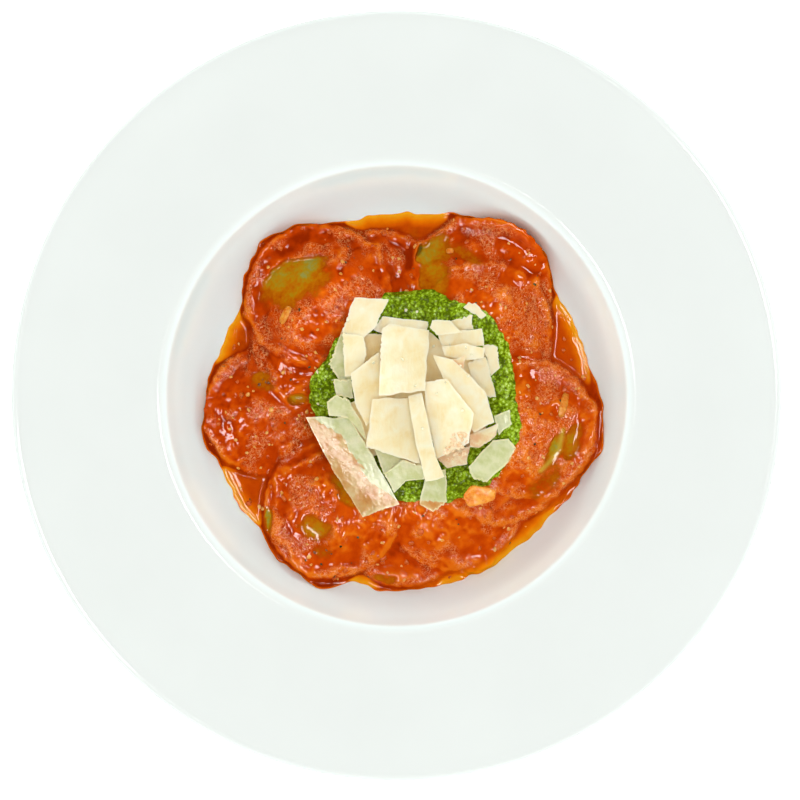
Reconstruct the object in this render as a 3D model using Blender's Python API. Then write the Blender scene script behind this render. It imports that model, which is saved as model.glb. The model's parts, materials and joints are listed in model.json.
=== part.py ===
"""Ravioli in tomato sauce with pesto and shaved hard cheese, plated in a wide-rimmed pasta plate.

The food is laid down in the order in which it lies. One height map of the dish, the pile map, knows how high
everything below is. Each soft piece drapes over it, each stiff shaving comes to rest on it, and its own top is
then added to the map, so that nothing overlaps and nothing floats. Metres, +Z up, origin under the middle of
the foot, on the surface that the plate stands on.
"""

import math

import bmesh
import bpy
import numpy as np
from mathutils import Matrix

MM = 0.001
TAU = 2 * math.pi

# Plate: radius and height in millimetres, from the middle of the well over the rim and back under the foot.
PLATE_STEPS = 60
PLATE_UPPER = [
    (0.0, 7.0),
    (56.0, 7.0),
    (68.0, 7.8),
    (75.0, 9.6),
    (80.5, 12.8),
    (85.0, 19.5),
    (88.2, 29.0),
    (90.6, 40.4),
    (93.2, 42.4),
    (98.0, 43.5),
    (112.0, 45.1),
    (128.0, 47.1),
    (139.0, 49.0),
    (146.4, 50.6),
    (149.2, 50.2),
    (150.0, 48.2),
]
PLATE_LOWER = [
    (149.0, 46.6),
    (127.0, 42.6),
    (98.0, 39.4),
    (93.0, 34.0),
    (87.6, 15.2),
    (82.0, 7.2),
    (64.5, 3.4),
    (62.4, 0.0),
    (58.0, 0.0),
    (56.4, 2.8),
    (0.0, 3.0),
]

# Clear space between two pieces, and the film of sauce that the ravioli lie on.
GAP = 0.5 * MM
FILM = 1.2 * MM

# The pile map, a square grid.
MAP_CELL = 0.75 * MM
MAP_HALF = 96 * MM
LIFT_ROUNDS = 8
LIFT_SHARE = 0.6

# Ravioli: round, all cut with one cutter, domed over the filling, with a flat sealed border.
RAVIOLO_RADIUS = 28.5 * MM
RAVIOLO_BORDER = 1.9 * MM
RAVIOLO_DOME = 8.8 * MM
RAVIOLO_DOME_SHARE = 0.8
RAVIOLO_STEPS = 20
RAVIOLO_RINGS = (0.32, 0.6, 0.8, 1.0)
RAVIOLO_SOFTNESS = 90
# Bottom of the pile first: how far right and up of the middle, in millimetres, and the size against the cutter.
RAVIOLI = [
    (-6.5, 39.5, 0.98),
    (-51.5, -6.0, 0.93),
    (3.4, -49.8, 0.97),
    (34.0, 43.2, 1.02),
    (-31.0, 23.5, 0.97),
    (23.5, -43.2, 0.97),
    (42.5, -24.5, 0.95),
    (36.0, 27.0, 0.95),
    (52.0, -12.8, 1.01),
    (-26.0, -45.6, 0.98),
    (-31.3, 40.3, 1.04),
]

# Tomato sauce: its surface has run a little towards the lower right, and it stands up in the middle of the ring.
SAUCE_LEVEL = 10.8 * MM
SAUCE_SLOPE = (0.014, -0.014)
SAUCE_EDGE = 0.5 * MM
SAUCE_MOUND_HEIGHT = 10.0 * MM
SAUCE_MOUND_RADIUS = 34 * MM
SAUCE_STEPS = 48
SAUCE_RINGS = (0.18, 0.36, 0.7, 1.0)
CUTTER_TOP = 60 * MM

# Pesto: an uneven round blob, its reach from its own middle in millimetres given every 1/16 turn from +X on.
PESTO_MIDDLE = (6.5 * MM, -2.0 * MM)
PESTO_REACH = [41.5, 43, 46, 43.5, 45.5, 43, 39, 39.5, 43, 33, 32, 38, 40, 43, 44.5, 45]
PESTO_STEPS = 32
PESTO_RINGS = (0.3, 0.6, 0.85, 1.0)
PESTO_THICKNESS = 4.0 * MM
PESTO_BORDER = 1.4 * MM
PESTO_SOFTNESS = 60
PESTO_LEVELLING = 500

# Flat pieces: their corners, counter-clockwise, right and up of the middle of the dish, in millimetres.
# A piece of stewed tomato at the pesto's edge.
TOMATO_CORNERS = [(26, -39.5), (28.5, -44.5), (39, -41.5), (39.5, -37), (29.5, -35)]
TOMATO_THICKNESS = 3.4 * MM

# Cheese shavings, bottom of the heap first.
CHEESE_THICKNESS = 0.8 * MM
CHEESE_CORNERS = [
    [(-17, 3), (-5, 1), (-3, 24), (-15, 25)],
    [(9, 2), (20, -3), (25, 17), (12, 26)],
    [(-11, -5), (14, -7), (15, 4), (-9, 6)],
    [(-21, -4), (-11, -25), (0, -20), (-8, 2)],
    [(-6, -21), (14, -24), (13, -33), (-3, -31)],
    [(19, -3), (23, -21), (36, -17), (33, 4)],
    [(22, 6), (35, 4), (36, 18), (23, 21)],
    [(26.5, 35), (29, 33.5), (33.5, 30.5), (35.5, 32), (32, 36.2), (28, 37)],
    [(34, 20.5), (37.5, 8), (41, 11), (40, 19.5)],
    [(38.5, -8), (40.5, -15.5), (45.5, -11), (44.8, -5.5)],
    [(28.5, -28), (30, -33), (35.5, -34), (45, -25.5), (47.3, -20.5), (44, -17), (38, -17.5)],
    [(11.5, -31), (9, -43.5), (14.5, -46), (20, -42), (19.5, -29)],
    [(-36.5, -8.5), (-26, -29), (-13.5, -48.5), (1, -43), (-11.5, -20.5), (-19, -8.5)],
    [(-21.5, 26), (-26.7, 12.5), (-23, 6), (-15, 7), (-14, 25)],
    [(-25, 6.5), (-24, 0), (-17, -1), (-18, 6.5)],
    [(-27.5, -2.5), (-27, -8), (-19, -8.5), (-12, -18), (-13.5, -11), (-19, -1.5), (-24, 0.5)],
    [(-9, -21), (-5, -31), (3, -26), (-2, -22)],
    [(-5, -31), (-1, -38.5), (3.5, -34), (11, -33), (11.5, -28), (2.5, -25.5)],
    [(16, -25), (20, -28.5), (28, -27), (29, -20), (22, -21)],
    [(28.5, -15.5), (29, -20), (33, -20.5), (39.5, -15.5), (40, -11)],
    [(28, 13), (30, 7), (35, -1), (39.5, -0.5), (38.2, 5), (35.5, 15.5)],
    [(21, 29.5), (24, 25), (30.2, 26.5), (30, 32)],
    [(16, 25), (18, 20), (27, 19), (34.5, 20), (33.8, 26.7), (28, 26)],
    [(-9, 26), (0, 22), (12, 24), (12.5, 29.5), (1, 31), (-5.5, 31.5)],
    [(13, 27), (16, 24), (26, 25), (21, 29.7), (14, 30)],
    [(18, 19.5), (19, 16), (27, 14), (34.5, 15), (35, 19), (27, 20.5)],
    [(21.5, 14), (23, 11), (26.5, 10.5), (27, 16)],
    [(-16.5, 39), (-21.5, 25), (-13, 23), (-8.5, 27), (-3, 38.2)],
    [(-21.2, 24.5), (-20.5, 7.5), (-14, 8), (-12, 16.5), (-13, 24)],
    [(-18, 9), (-16.5, -3), (-12, -12), (-4, 0), (-7, 17)],
    [(14.5, 16), (19, 5), (30.5, -14.5), (38.5, -10.5), (35, 2), (22, 14.5)],
    [(11, 5.5), (11.5, -8), (16, -25), (28.5, -18.5), (30.5, -7), (20, 6.5)],
    [(-9.5, -1), (-12, -20.3), (9.5, -27), (6, -1)],
    [(4.5, 0), (7, -16), (11.5, -34), (19, -32), (15.5, -24), (10, 1)],
    [(-5.8, 26.5), (-7, 0), (11.2, 2), (13, 26), (-3, 28.5)],
]

# How a flat piece comes to rest on the pile.
FLAT_STIFFNESS = 250
FLAT_BORDER = 0.08
STEEPEST_REST = 0.22
REST_ROUNDS = 6
REST_TRIES = 13


def clear_scene():
    for obj in list(bpy.data.objects):
        bpy.data.objects.remove(obj, do_unlink=True)


def finish_material(name, colour, roughness, metallic=0.0):
    """A Principled material of that colour, roughness and metallic value."""
    material = bpy.data.materials.new(name)
    material.use_nodes = True
    shader = material.node_tree.nodes["Principled BSDF"]
    shader.inputs["Base Color"].default_value = (*colour, 1.0)
    shader.inputs["Roughness"].default_value = roughness
    shader.inputs["Metallic"].default_value = metallic
    material.diffuse_color = (*colour, 1.0)
    return material


def add_object(name, work, material, at=(0.0, 0.0), sharp_over=50):
    """One named object from a bmesh whose points are measured from that place on the table."""
    bmesh.ops.recalc_face_normals(work, faces=work.faces)
    mesh = bpy.data.meshes.new(name)
    work.to_mesh(mesh)
    work.free()
    mesh.shade_smooth()
    mesh.set_sharp_from_angle(angle=math.radians(sharp_over))
    if material is not None:
        mesh.materials.append(material)
    obj = bpy.data.objects.new(name, mesh)
    obj.location = (*at, 0.0)
    bpy.context.scene.collection.objects.link(obj)
    return obj


def add_slab(name, at, plan, bottom, top, faces, border, material):
    """A solid between two sheets that share one plan, walled along the plan's border loop."""
    work = bmesh.new()
    high = [work.verts.new((*point, z)) for point, z in zip(plan - at, top)]
    low = [work.verts.new((*point, z)) for point, z in zip(plan - at, bottom)]
    for face in faces:
        work.faces.new([high[i] for i in face])
        work.faces.new([low[i] for i in reversed(face)])
    for here, after in zip(border, border[1:] + border[:1]):
        work.faces.new([high[here], low[here], low[after]])
        work.faces.new([high[here], low[after], high[after]])
    return add_object(name, work, material, at)


def plate_height(radius):
    """Height of the plate's upper surface at a distance from the middle, in metres."""
    out, up = zip(*PLATE_UPPER)
    return np.interp(np.asarray(radius) / MM, out, up) * MM


def add_plate():
    """The plate, its outline spun about the middle."""
    work = bmesh.new()
    outline = [work.verts.new((r * MM, 0, z * MM)) for r, z in PLATE_UPPER + PLATE_LOWER]
    edges = [work.edges.new(pair) for pair in zip(outline, outline[1:])]
    bmesh.ops.spin(work, geom=outline + edges, axis=(0, 0, 1), cent=(0, 0, 0), angle=TAU, steps=PLATE_STEPS)
    bmesh.ops.remove_doubles(work, verts=work.verts, dist=0.01 * MM)
    return add_object("plate", work, finish_material("porcelain", (0.83, 0.86, 0.84), 0.12), sharp_over=30)


class PileMap:
    """How high the plate and everything laid on it stands, on a square grid over the dish."""

    def __init__(self):
        self.count = int(round(2 * MAP_HALF / MAP_CELL)) + 1
        line = np.linspace(-MAP_HALF, MAP_HALF, self.count)
        self.x, self.y = np.meshgrid(line, line, indexing="ij")
        self.height = plate_height(np.hypot(self.x, self.y)) + 2 * GAP + FILM

    def cells(self, value):
        return (np.asarray(value) + MAP_HALF) / MAP_CELL

    def window(self, x, y, reach):
        """Slices of the grid around a point."""
        low = [max(0, int(self.cells(v - reach))) for v in (x, y)]
        high = [min(self.count, int(self.cells(v + reach)) + 2) for v in (x, y)]
        return slice(low[0], high[0]), slice(low[1], high[1])

    def read(self, field, area, x, y):
        """Values of a windowed field between its grid points."""
        i = np.clip(self.cells(x) - area[0].start, 0, field.shape[0] - 1.001)
        j = np.clip(self.cells(y) - area[1].start, 0, field.shape[1] - 1.001)
        a, b = i.astype(int), j.astype(int)
        u, v = i - a, j - b
        near = field[a, b] * (1 - v) + field[a, b + 1] * v
        far = field[a + 1, b] * (1 - v) + field[a + 1, b + 1] * v
        return near * (1 - u) + far * u

    def under_triangle(self, a, b, c):
        """The part of the grid around a triangle, which of its points lie under it, and its height there."""
        low = [max(0, int(math.floor(self.cells(min(a[k], b[k], c[k]))))) for k in (0, 1)]
        high = [min(self.count, int(math.ceil(self.cells(max(a[k], b[k], c[k])))) + 1) for k in (0, 1)]
        part = (slice(low[0], high[0]), slice(low[1], high[1]))
        x, y = self.x[part], self.y[part]
        area = (b[0] - a[0]) * (c[1] - a[1]) - (c[0] - a[0]) * (b[1] - a[1])
        u = ((x - a[0]) * (c[1] - a[1]) - (c[0] - a[0]) * (y - a[1])) / area
        v = ((b[0] - a[0]) * (y - a[1]) - (x - a[0]) * (b[1] - a[1])) / area
        inside = (u >= -0.01) & (v >= -0.01) & (u + v <= 1.01)
        return part, inside, a[2] + u * (b[2] - a[2]) + v * (c[2] - a[2])

    def add(self, plan, top, faces):
        """Raises the map to the given triangles where they stand higher."""
        for face in faces:
            part, inside, z = self.under_triangle(*((*plan[i], top[i]) for i in face))
            self.height[part] = np.where(inside, np.maximum(self.height[part], z), self.height[part])

    def lifted_clear(self, plan, bottom, faces):
        """The bottom heights, raised until every triangle between them clears the map."""
        bottom, wanted = bottom.copy(), spread_max(self.height, 1) + GAP
        for _ in range(LIFT_ROUNDS):
            lift = np.zeros(len(bottom))
            for face in faces:
                part, inside, z = self.under_triangle(*((*plan[i], bottom[i]) for i in face))
                short = float(np.where(inside, wanted[part] - z, 0).max(initial=0))
                for i in face:
                    lift[i] = max(lift[i], short)
            bottom += LIFT_SHARE * lift
        return bottom + lift.max() * (1 - LIFT_SHARE)


def spread_max(field, cells):
    """Each value becomes the highest within that many cells."""
    padded = np.pad(field, cells, mode="edge")
    n, m = field.shape
    found = field.copy()
    for i in range(2 * cells + 1):
        for j in range(2 * cells + 1):
            if (i - cells) ** 2 + (j - cells) ** 2 <= cells**2 + 1:
                found = np.maximum(found, padded[i : i + n, j : j + m])
    return found


def blurred(field, mask):
    """The mean of each cell and its eight neighbours, counting only the cells under the mask."""
    total, weight = np.zeros_like(field), np.zeros_like(field)
    values, counted = np.pad(field * mask, 1), np.pad(mask.astype(float), 1)
    n, m = field.shape
    for i in range(3):
        for j in range(3):
            total += values[i : i + n, j : j + m]
            weight += counted[i : i + n, j : j + m]
    return np.where(weight > 0, total / np.maximum(weight, 1), field)


def draped(pile, middle, reach, softness, covers=None):
    """The underside of a piece laid over the pile, as a windowed field. More rounds make it stiffer."""
    area = pile.window(*middle, reach + 4 * MAP_CELL)
    needed = spread_max(pile.height[area], 2) + GAP
    x, y = pile.x[area], pile.y[area]
    if covers is None:
        covered = np.hypot(x - middle[0], y - middle[1]) <= reach + 2 * MAP_CELL
    else:
        covered = covers(x, y)
    under = needed.copy()
    for _ in range(softness):
        under = np.maximum(blurred(under, covered), needed)
    return under, area


def within(corners, x, y):
    """Which of the points lie inside a polygon."""
    inside = np.zeros(np.shape(x), bool)
    for (x0, y0), (x1, y1) in zip(corners, np.roll(corners, -1, axis=0)):
        if y0 != y1:
            crosses = (y0 > y) != (y1 > y)
            inside ^= crosses & (x < x0 + (y - y0) * (x1 - x0) / (y1 - y0))
    return inside


def round_layout(middle, rings, steps, reach_at):
    """Plan points of a round piece: its middle, then each ring from the inside out."""
    plan = [middle]
    for share in rings:
        for step in range(steps):
            turn = TAU * step / steps
            out = share * reach_at(turn)
            plan.append((middle[0] + out * math.cos(turn), middle[1] + out * math.sin(turn)))
    return np.array(plan)


def round_faces(rings, steps):
    """Triangles of one side of a round piece, counter-clockwise from above, and its border loop."""
    faces = []
    for step in range(steps):
        after = (step + 1) % steps
        faces.append((0, 1 + step, 1 + after))
        for ring in range(rings - 1):
            inner, outer = 1 + ring * steps, 1 + (ring + 1) * steps
            faces.append((inner + step, outer + step, outer + after))
            faces.append((inner + step, outer + after, inner + after))
    return faces, [1 + (rings - 1) * steps + step for step in range(steps)]


def raviolo_thickness(share):
    """Thickness at a share of the radius: two sheets of pasta at the border, the filling under the dome."""
    inner = np.clip(1 - (share / RAVIOLO_DOME_SHARE) ** 2, 0, 1)
    return RAVIOLO_BORDER + RAVIOLO_DOME * inner**0.75


def add_ravioli(pile):
    """The ravioli, and for each that reaches the sauce a cutter that keeps the sauce clear of it."""
    pasta = finish_material("spinach_pasta", (0.33, 0.36, 0.13), 0.45)
    faces, border = round_faces(len(RAVIOLO_RINGS), RAVIOLO_STEPS)
    cutters = []
    for number, (right, up, size) in enumerate(RAVIOLI, 1):
        middle, radius = np.array((right, up)) * MM, RAVIOLO_RADIUS * size
        plan = round_layout(middle, RAVIOLO_RINGS, RAVIOLO_STEPS, lambda turn: radius)
        under, area = draped(pile, middle, radius, RAVIOLO_SOFTNESS)
        bottom = pile.lifted_clear(plan, pile.read(under, area, *plan.T), faces)
        top = bottom + raviolo_thickness(np.hypot(*(plan - middle).T) / radius)
        pile.add(plan, top, faces)
        add_slab(f"raviolo_{number:02d}", middle, plan, bottom, top, faces, border, pasta)
        if bottom.min() < SAUCE_LEVEL + SAUCE_MOUND_HEIGHT:
            cutters.append(add_cutter(number, middle, radius + GAP, plan, bottom))
    return cutters


def add_cutter(number, middle, radius, plan, bottom):
    """A post with the same corners as a raviolo, from a slanted plane just under it to above all the sauce."""
    slope, highest = resting_plane(*(plan - middle).T, -bottom)
    work = bmesh.new()
    bmesh.ops.create_cone(
        work, cap_ends=True, segments=RAVIOLO_STEPS, radius1=radius, radius2=radius, depth=CUTTER_TOP
    )
    bmesh.ops.rotate(work, verts=work.verts, matrix=Matrix.Rotation(TAU / 4, 3, "Z"))
    for vert in work.verts:
        under = -highest - slope[0] * vert.co.x - slope[1] * vert.co.y - GAP
        vert.co.z = CUTTER_TOP if vert.co.z > 0 else under
    cutter = add_object(f"cutter_{number:02d}", work, None, middle)
    cutter.hide_render = True
    cutter.display_type = "WIRE"
    return cutter


def sauce_top(x, y):
    """Height of the sauce's surface: a slightly sloping plane with a mound in the middle."""
    share = np.clip(1 - np.hypot(x, y) / SAUCE_MOUND_RADIUS, 0, 1)
    mound = SAUCE_MOUND_HEIGHT * share * share * (3 - 2 * share)
    return SAUCE_LEVEL + SAUCE_SLOPE[0] * x + SAUCE_SLOPE[1] * y + mound


def sauce_reach(turn):
    """How far out the sauce's surface meets the plate in that direction."""
    out = np.linspace(60 * MM, 90 * MM, 301)
    room = sauce_top(out * math.cos(turn), out * math.sin(turn)) - plate_height(out) - GAP - SAUCE_EDGE
    return float(out[np.argmax(room < 0)])


def add_sauce(pile, cutters):
    plan = round_layout((0.0, 0.0), SAUCE_RINGS, SAUCE_STEPS, sauce_reach)
    bottom = plate_height(np.hypot(plan[:, 0], plan[:, 1])) + GAP
    top = sauce_top(plan[:, 0], plan[:, 1])
    faces, border = round_faces(len(SAUCE_RINGS), SAUCE_STEPS)
    tomato = finish_material("tomato_sauce", (0.55, 0.07, 0.015), 0.3)
    sauce = add_slab("sauce", np.zeros(2), plan, bottom, top, faces, border, tomato)
    for cutter in cutters:
        cut = sauce.modifiers.new(cutter.name, "BOOLEAN")
        cut.operation = "DIFFERENCE"
        cut.object = cutter
    pile.add(plan, top, faces)
    return sauce


def pesto_reach(turn):
    """The blob's outline, rounded between the given reaches."""
    at = turn / TAU * len(PESTO_REACH)
    first, share = int(at), at - int(at)
    near = [PESTO_REACH[(first + k) % len(PESTO_REACH)] for k in (-1, 0, 1, 2)]
    slope_in, slope_out = (near[2] - near[0]) / 2, (near[3] - near[1]) / 2
    square, cube = share**2, share**3
    return MM * (
        near[1] * (2 * cube - 3 * square + 1)
        + slope_in * (cube - 2 * square + share)
        + near[2] * (3 * square - 2 * cube)
        + slope_out * (cube - square)
    )


def add_pesto(pile):
    """The pesto: it drapes over the ravioli underneath and levels off on top."""
    middle = np.array(PESTO_MIDDLE)
    plan = round_layout(middle, PESTO_RINGS, PESTO_STEPS, pesto_reach)
    reach = max(PESTO_REACH) * MM
    under, area = draped(pile, middle, reach, PESTO_SOFTNESS)
    level, _ = draped(pile, middle, reach, PESTO_LEVELLING)
    faces, border = round_faces(len(PESTO_RINGS), PESTO_STEPS)
    bottom = pile.lifted_clear(plan, pile.read(under, area, *plan.T), faces)
    shares = np.repeat((0.0, *PESTO_RINGS), [1] + [PESTO_STEPS] * len(PESTO_RINGS))
    thickness = PESTO_BORDER + (PESTO_THICKNESS - PESTO_BORDER) * (1 - shares**3)
    levelled = np.where(shares < 1, pile.read(level, area, *plan.T), 0)
    top = np.maximum(bottom, levelled) + thickness
    pile.add(plan, top, faces)
    return add_slab(
        "pesto", middle, plan, bottom, top, faces, border, finish_material("basil_pesto", (0.09, 0.24, 0.02), 0.4)
    )


def resting_plane(x, y, needed):
    """The plane over all the needed heights that is lowest in the middle: where a stiff piece comes to rest."""
    slope, span = np.zeros(2), STEEPEST_REST
    for _ in range(REST_ROUNDS):
        tries = np.linspace(-span, span, REST_TRIES)
        a, b = (grid.ravel() + s for grid, s in zip(np.meshgrid(tries, tries, indexing="ij"), slope))
        height = (needed[None, :] - a[:, None] * x[None, :] - b[:, None] * y[None, :]).max(1)
        best = int(np.argmin(height + 1e-5 * np.hypot(a, b)))
        slope = np.clip((a[best], b[best]), -STEEPEST_REST, STEEPEST_REST)
        span *= 2.5 / (REST_TRIES - 1)
    return slope, float((needed - slope[0] * x - slope[1] * y).max())


def add_flat_piece(pile, name, corners, thickness, material):
    """A flat piece on the pile: halfway between a stiff one, which only tips, and a limp one, which drapes."""
    corners = np.array(corners) * MM
    middle = corners.mean(0)
    ahead = np.roll(corners, -1, axis=0)
    outline = np.stack((corners, (corners + ahead) / 2), 1).reshape(-1, 2)
    plan = np.vstack((middle, outline))
    reach = float(np.hypot(*(corners - middle).T).max())
    limp, area = draped(pile, middle, reach, FLAT_STIFFNESS, lambda x, y: within(corners, x, y))
    x, y = pile.x[area], pile.y[area]
    under = within(corners, x, y)
    needed = spread_max(pile.height[area], 1)[under] + GAP
    slope, lowest = resting_plane(x[under] - middle[0], y[under] - middle[1], needed)
    stiff = lowest + (plan - middle) @ slope
    inwards = middle + (plan - middle) * (1 - FLAT_BORDER)
    faces, border = round_faces(1, len(outline))
    bottom = pile.lifted_clear(plan, (stiff + pile.read(limp, area, *inwards.T)) / 2, faces)
    pile.add(plan, bottom + thickness, faces)
    return add_slab(name, middle, plan, bottom, bottom + thickness, faces, border, material)


def add_tomato_piece(pile):
    stewed = finish_material("stewed_tomato", (0.75, 0.18, 0.02), 0.35)
    add_flat_piece(pile, "tomato_piece", TOMATO_CORNERS, TOMATO_THICKNESS, stewed)


def add_cheese(pile):
    cheese = finish_material("hard_cheese", (0.93, 0.83, 0.56), 0.5)
    for number, corners in enumerate(CHEESE_CORNERS, 1):
        add_flat_piece(pile, f"cheese_shaving_{number:02d}", corners, CHEESE_THICKNESS, cheese)


def main():
    clear_scene()
    add_plate()
    pile = PileMap()
    cutters = add_ravioli(pile)
    add_sauce(pile, cutters)
    add_pesto(pile)
    add_tomato_piece(pile)
    add_cheese(pile)


main()
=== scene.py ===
"""Looks of a plate of green ravioli in tomato sauce with pesto and shaved hard cheese.

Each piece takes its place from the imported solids. The soft food is laid down in turn: the sauce over the
ravioli, the pesto over the sauce, the cheese over the pesto, and the small bits over all of it. Heights are
found by casting rays down on the pieces that already lie there. Metres, +Z up, origin under the foot's
middle.
"""

import json
import math

import bpy
import numpy as np
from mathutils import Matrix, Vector
from mathutils.bvhtree import BVHTree

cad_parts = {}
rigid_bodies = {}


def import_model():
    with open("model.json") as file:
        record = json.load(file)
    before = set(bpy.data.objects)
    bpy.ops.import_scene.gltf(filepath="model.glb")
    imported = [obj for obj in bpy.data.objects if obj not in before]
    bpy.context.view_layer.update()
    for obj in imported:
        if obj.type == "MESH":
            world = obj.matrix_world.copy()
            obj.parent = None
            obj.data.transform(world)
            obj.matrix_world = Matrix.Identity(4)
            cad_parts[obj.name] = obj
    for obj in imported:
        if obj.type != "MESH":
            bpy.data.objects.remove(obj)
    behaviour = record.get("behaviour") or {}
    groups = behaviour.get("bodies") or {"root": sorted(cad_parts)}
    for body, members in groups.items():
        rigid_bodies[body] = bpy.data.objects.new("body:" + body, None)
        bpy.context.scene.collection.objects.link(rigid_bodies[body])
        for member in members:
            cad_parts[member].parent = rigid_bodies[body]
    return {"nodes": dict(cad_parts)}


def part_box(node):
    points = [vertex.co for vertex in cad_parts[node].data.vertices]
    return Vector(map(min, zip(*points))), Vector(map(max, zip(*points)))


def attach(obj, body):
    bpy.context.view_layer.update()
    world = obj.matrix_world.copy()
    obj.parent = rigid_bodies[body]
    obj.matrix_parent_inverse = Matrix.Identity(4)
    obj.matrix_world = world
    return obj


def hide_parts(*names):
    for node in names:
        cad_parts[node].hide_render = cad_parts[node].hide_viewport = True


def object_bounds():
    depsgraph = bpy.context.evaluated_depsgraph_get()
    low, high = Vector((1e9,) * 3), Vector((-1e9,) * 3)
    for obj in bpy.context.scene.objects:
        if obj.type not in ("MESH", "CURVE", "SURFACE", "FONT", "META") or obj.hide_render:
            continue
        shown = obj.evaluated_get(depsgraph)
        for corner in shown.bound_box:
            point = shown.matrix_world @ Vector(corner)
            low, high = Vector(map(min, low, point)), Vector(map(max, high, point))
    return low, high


bl_info = {
    "name": "Ravioli Plate",
    "version": (1, 0, 0),
    "blender": (4, 5, 0),
    "location": "3D View > Sidebar > Ravioli Plate",
    "description": "Models and finishes a plate of ravioli around its packed solids",
    "category": "Object",
}

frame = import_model()
CAD_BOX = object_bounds()

MM = 0.001
TAU = 2 * math.pi
RAVIOLI = sorted(name for name in frame["nodes"] if name.startswith("raviolo"))
SHAVINGS = sorted(name for name in frame["nodes"] if name.startswith("cheese"))

# Plate: radius and height in millimetres, from the middle of the well over the rim and back under the foot.
PLATE_UPPER = [
    (0.0, 7.0), (30.0, 7.0), (56.0, 7.05), (64.0, 7.35), (70.0, 8.1), (75.0, 9.6), (79.0, 11.8),
    (82.4, 15.2), (85.0, 19.5), (86.8, 24.2), (88.2, 29.0), (89.5, 35.0), (90.3, 39.4), (90.75, 40.75),
    (91.25, 41.25), (92.0, 41.65), (92.8, 42.05), (93.2, 42.3), (93.8, 42.6), (95.5, 43.0),
    (98.0, 43.4), (105.0, 44.2), (112.0, 45.1), (120.0, 46.05), (128.0, 47.1), (134.0, 48.05),
    (139.0, 49.0), (143.5, 50.0), (146.0, 50.45), (147.8, 50.55), (149.2, 50.15), (149.9, 49.2),
    (150.0, 48.2),
]
PLATE_LOWER = [
    (149.7, 47.3), (149.0, 46.6), (146.0, 45.9), (127.0, 42.6), (112.0, 40.9), (98.0, 39.4),
    (94.6, 37.6), (93.0, 34.0), (90.6, 25.0), (87.6, 15.2), (85.6, 10.8), (82.0, 7.2), (74.0, 4.6),
    (64.5, 3.4), (63.1, 2.4), (62.6, 0.4), (62.2, 0.05), (60.2, 0.0), (58.2, 0.05), (57.8, 0.4),
    (57.3, 2.2), (56.2, 2.8), (30.0, 3.0), (0.0, 3.0),
]

# The pool between the ravioli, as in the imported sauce: its level and how it runs to the lower right.
POOL_LEVEL = 10.8 * MM
POOL_SLOPE = (0.014, -0.014)
# Where the pool stops short of that level's line: direction and width in degrees, depth in millimetres.
POOL_DENTS = [
    (150, 14, 1.0), (214, 14, 1.0), (258, 5, 1.8), (25, 10, 1.2), (192, 4, -2.4), (320, 14, 0.9),
]
# Where the sauce round the ravioli reaches further out or less far than elsewhere, in the same terms.
COAT_BULGES = [(-8, 13, 2.2), (180, 12, -1.0), (249, 6, 1.2), (145, 5, 1.6), (-88, 10, 0.8)]
# Where the whole border of the sauce then bulges out or draws in, in the same terms.
EDGE_SHIFTS = [
    (4, 7, 2.6), (24, 6, 1.8), (56, 9, -2.6), (72, 4, 3.2), (132, 6, 1.8), (154, 5, 1.0), (171, 7, 1.8),
    (194, 6, 3.0), (212, 9, 3.2), (230, 6, 2.2), (249, 5, 3.8), (264, 5, 1.5), (328, 9, 2.0),
]
# The side where a broad band of oil has gathered: its direction and half width in degrees.
OIL_SIDE = (306, 26)

# Places where the sauce is thin or gone. Each is given from a raviolo's middle: right, up, half length and
# half width in millimetres, the turn of the length and the side on which the sauce ends crisply, both in
# degrees, and how much of the sauce is gone.
THIN_PATCHES = [
    ("raviolo_11", -9.9, 6.2, 13.4, 8.4, 28, 125, 0.80),
    ("raviolo_11", -3.6, 10.6, 6.5, 4.4, 28, 115, 1.0),
    ("raviolo_11", -14.0, 0.5, 8.0, 6.0, 10, None, 0.60),
    ("raviolo_04", -19.4, 15.6, 7.2, 5.2, 20, 190, 0.90),
    ("raviolo_04", -19.2, 5.2, 6.2, 7.6, 0, 185, 0.58),
    ("raviolo_04", -24.0, 25.0, 5.0, 3.8, 0, 200, 0.66),
    ("raviolo_04", -8.0, 14.5, 9.5, 3.0, -24, None, 0.46),
    ("raviolo_09", 11.8, -8.1, 3.2, 7.6, -22, 150, 0.84),
    ("raviolo_09", 18.4, -5.6, 3.4, 7.0, -18, None, 0.72),
    ("raviolo_09", 9.2, -20.0, 9.0, 4.6, 48, None, 0.44),
    ("raviolo_10", -7.0, -7.4, 6.6, 4.2, -20, None, 0.66),
    ("raviolo_10", -26.4, -5.9, 1.8, 6.4, 0, None, 1.0),
    ("raviolo_10", 4.0, 9.1, 7.5, 2.6, -57, None, 0.75),
    ("raviolo_10", -3.5, -17.6, 4.5, 3.6, 0, None, 0.4),
    ("raviolo_03", -9.4, -24.8, 5.5, 2.0, 0, None, 0.7),
    ("raviolo_02", -3.5, 12.0, 5.0, 4.0, 0, None, 0.42),
    ("raviolo_02", 11.0, 4.4, 4.5, 1.9, -5, None, 0.7),
]

# The width of a thin patch's border, as a share of the patch, on its soft side and on its crisp side.
PATCH_SOFTNESS = 0.66
PATCH_CRISPNESS = 0.1

# A pale fold of dough in one thin patch: its width to each side, and its corners from the raviolo's middle,
# right and up in millimetres.
CREASE_WIDTH = 0.85 * MM
CREASE = (
    "raviolo_09",
    [(14.9, -0.8), (13.6, -5.6), (13.0, -8.8), (10.3, -12.4), (8.3, -14.5), (5.5, -17.2)],
)

# The square grid of heights that the sauce and the pesto are worked out on.
MAP_HALF = 88 * MM
MAP_STEP = 0.4 * MM
MAP_COUNT = int(round(2 * MAP_HALF / MAP_STEP)) + 1
MAP_LINE = np.linspace(-MAP_HALF, MAP_HALF, MAP_COUNT)
MAP_X, MAP_Y = np.meshgrid(MAP_LINE, MAP_LINE, indexing="ij")

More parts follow.
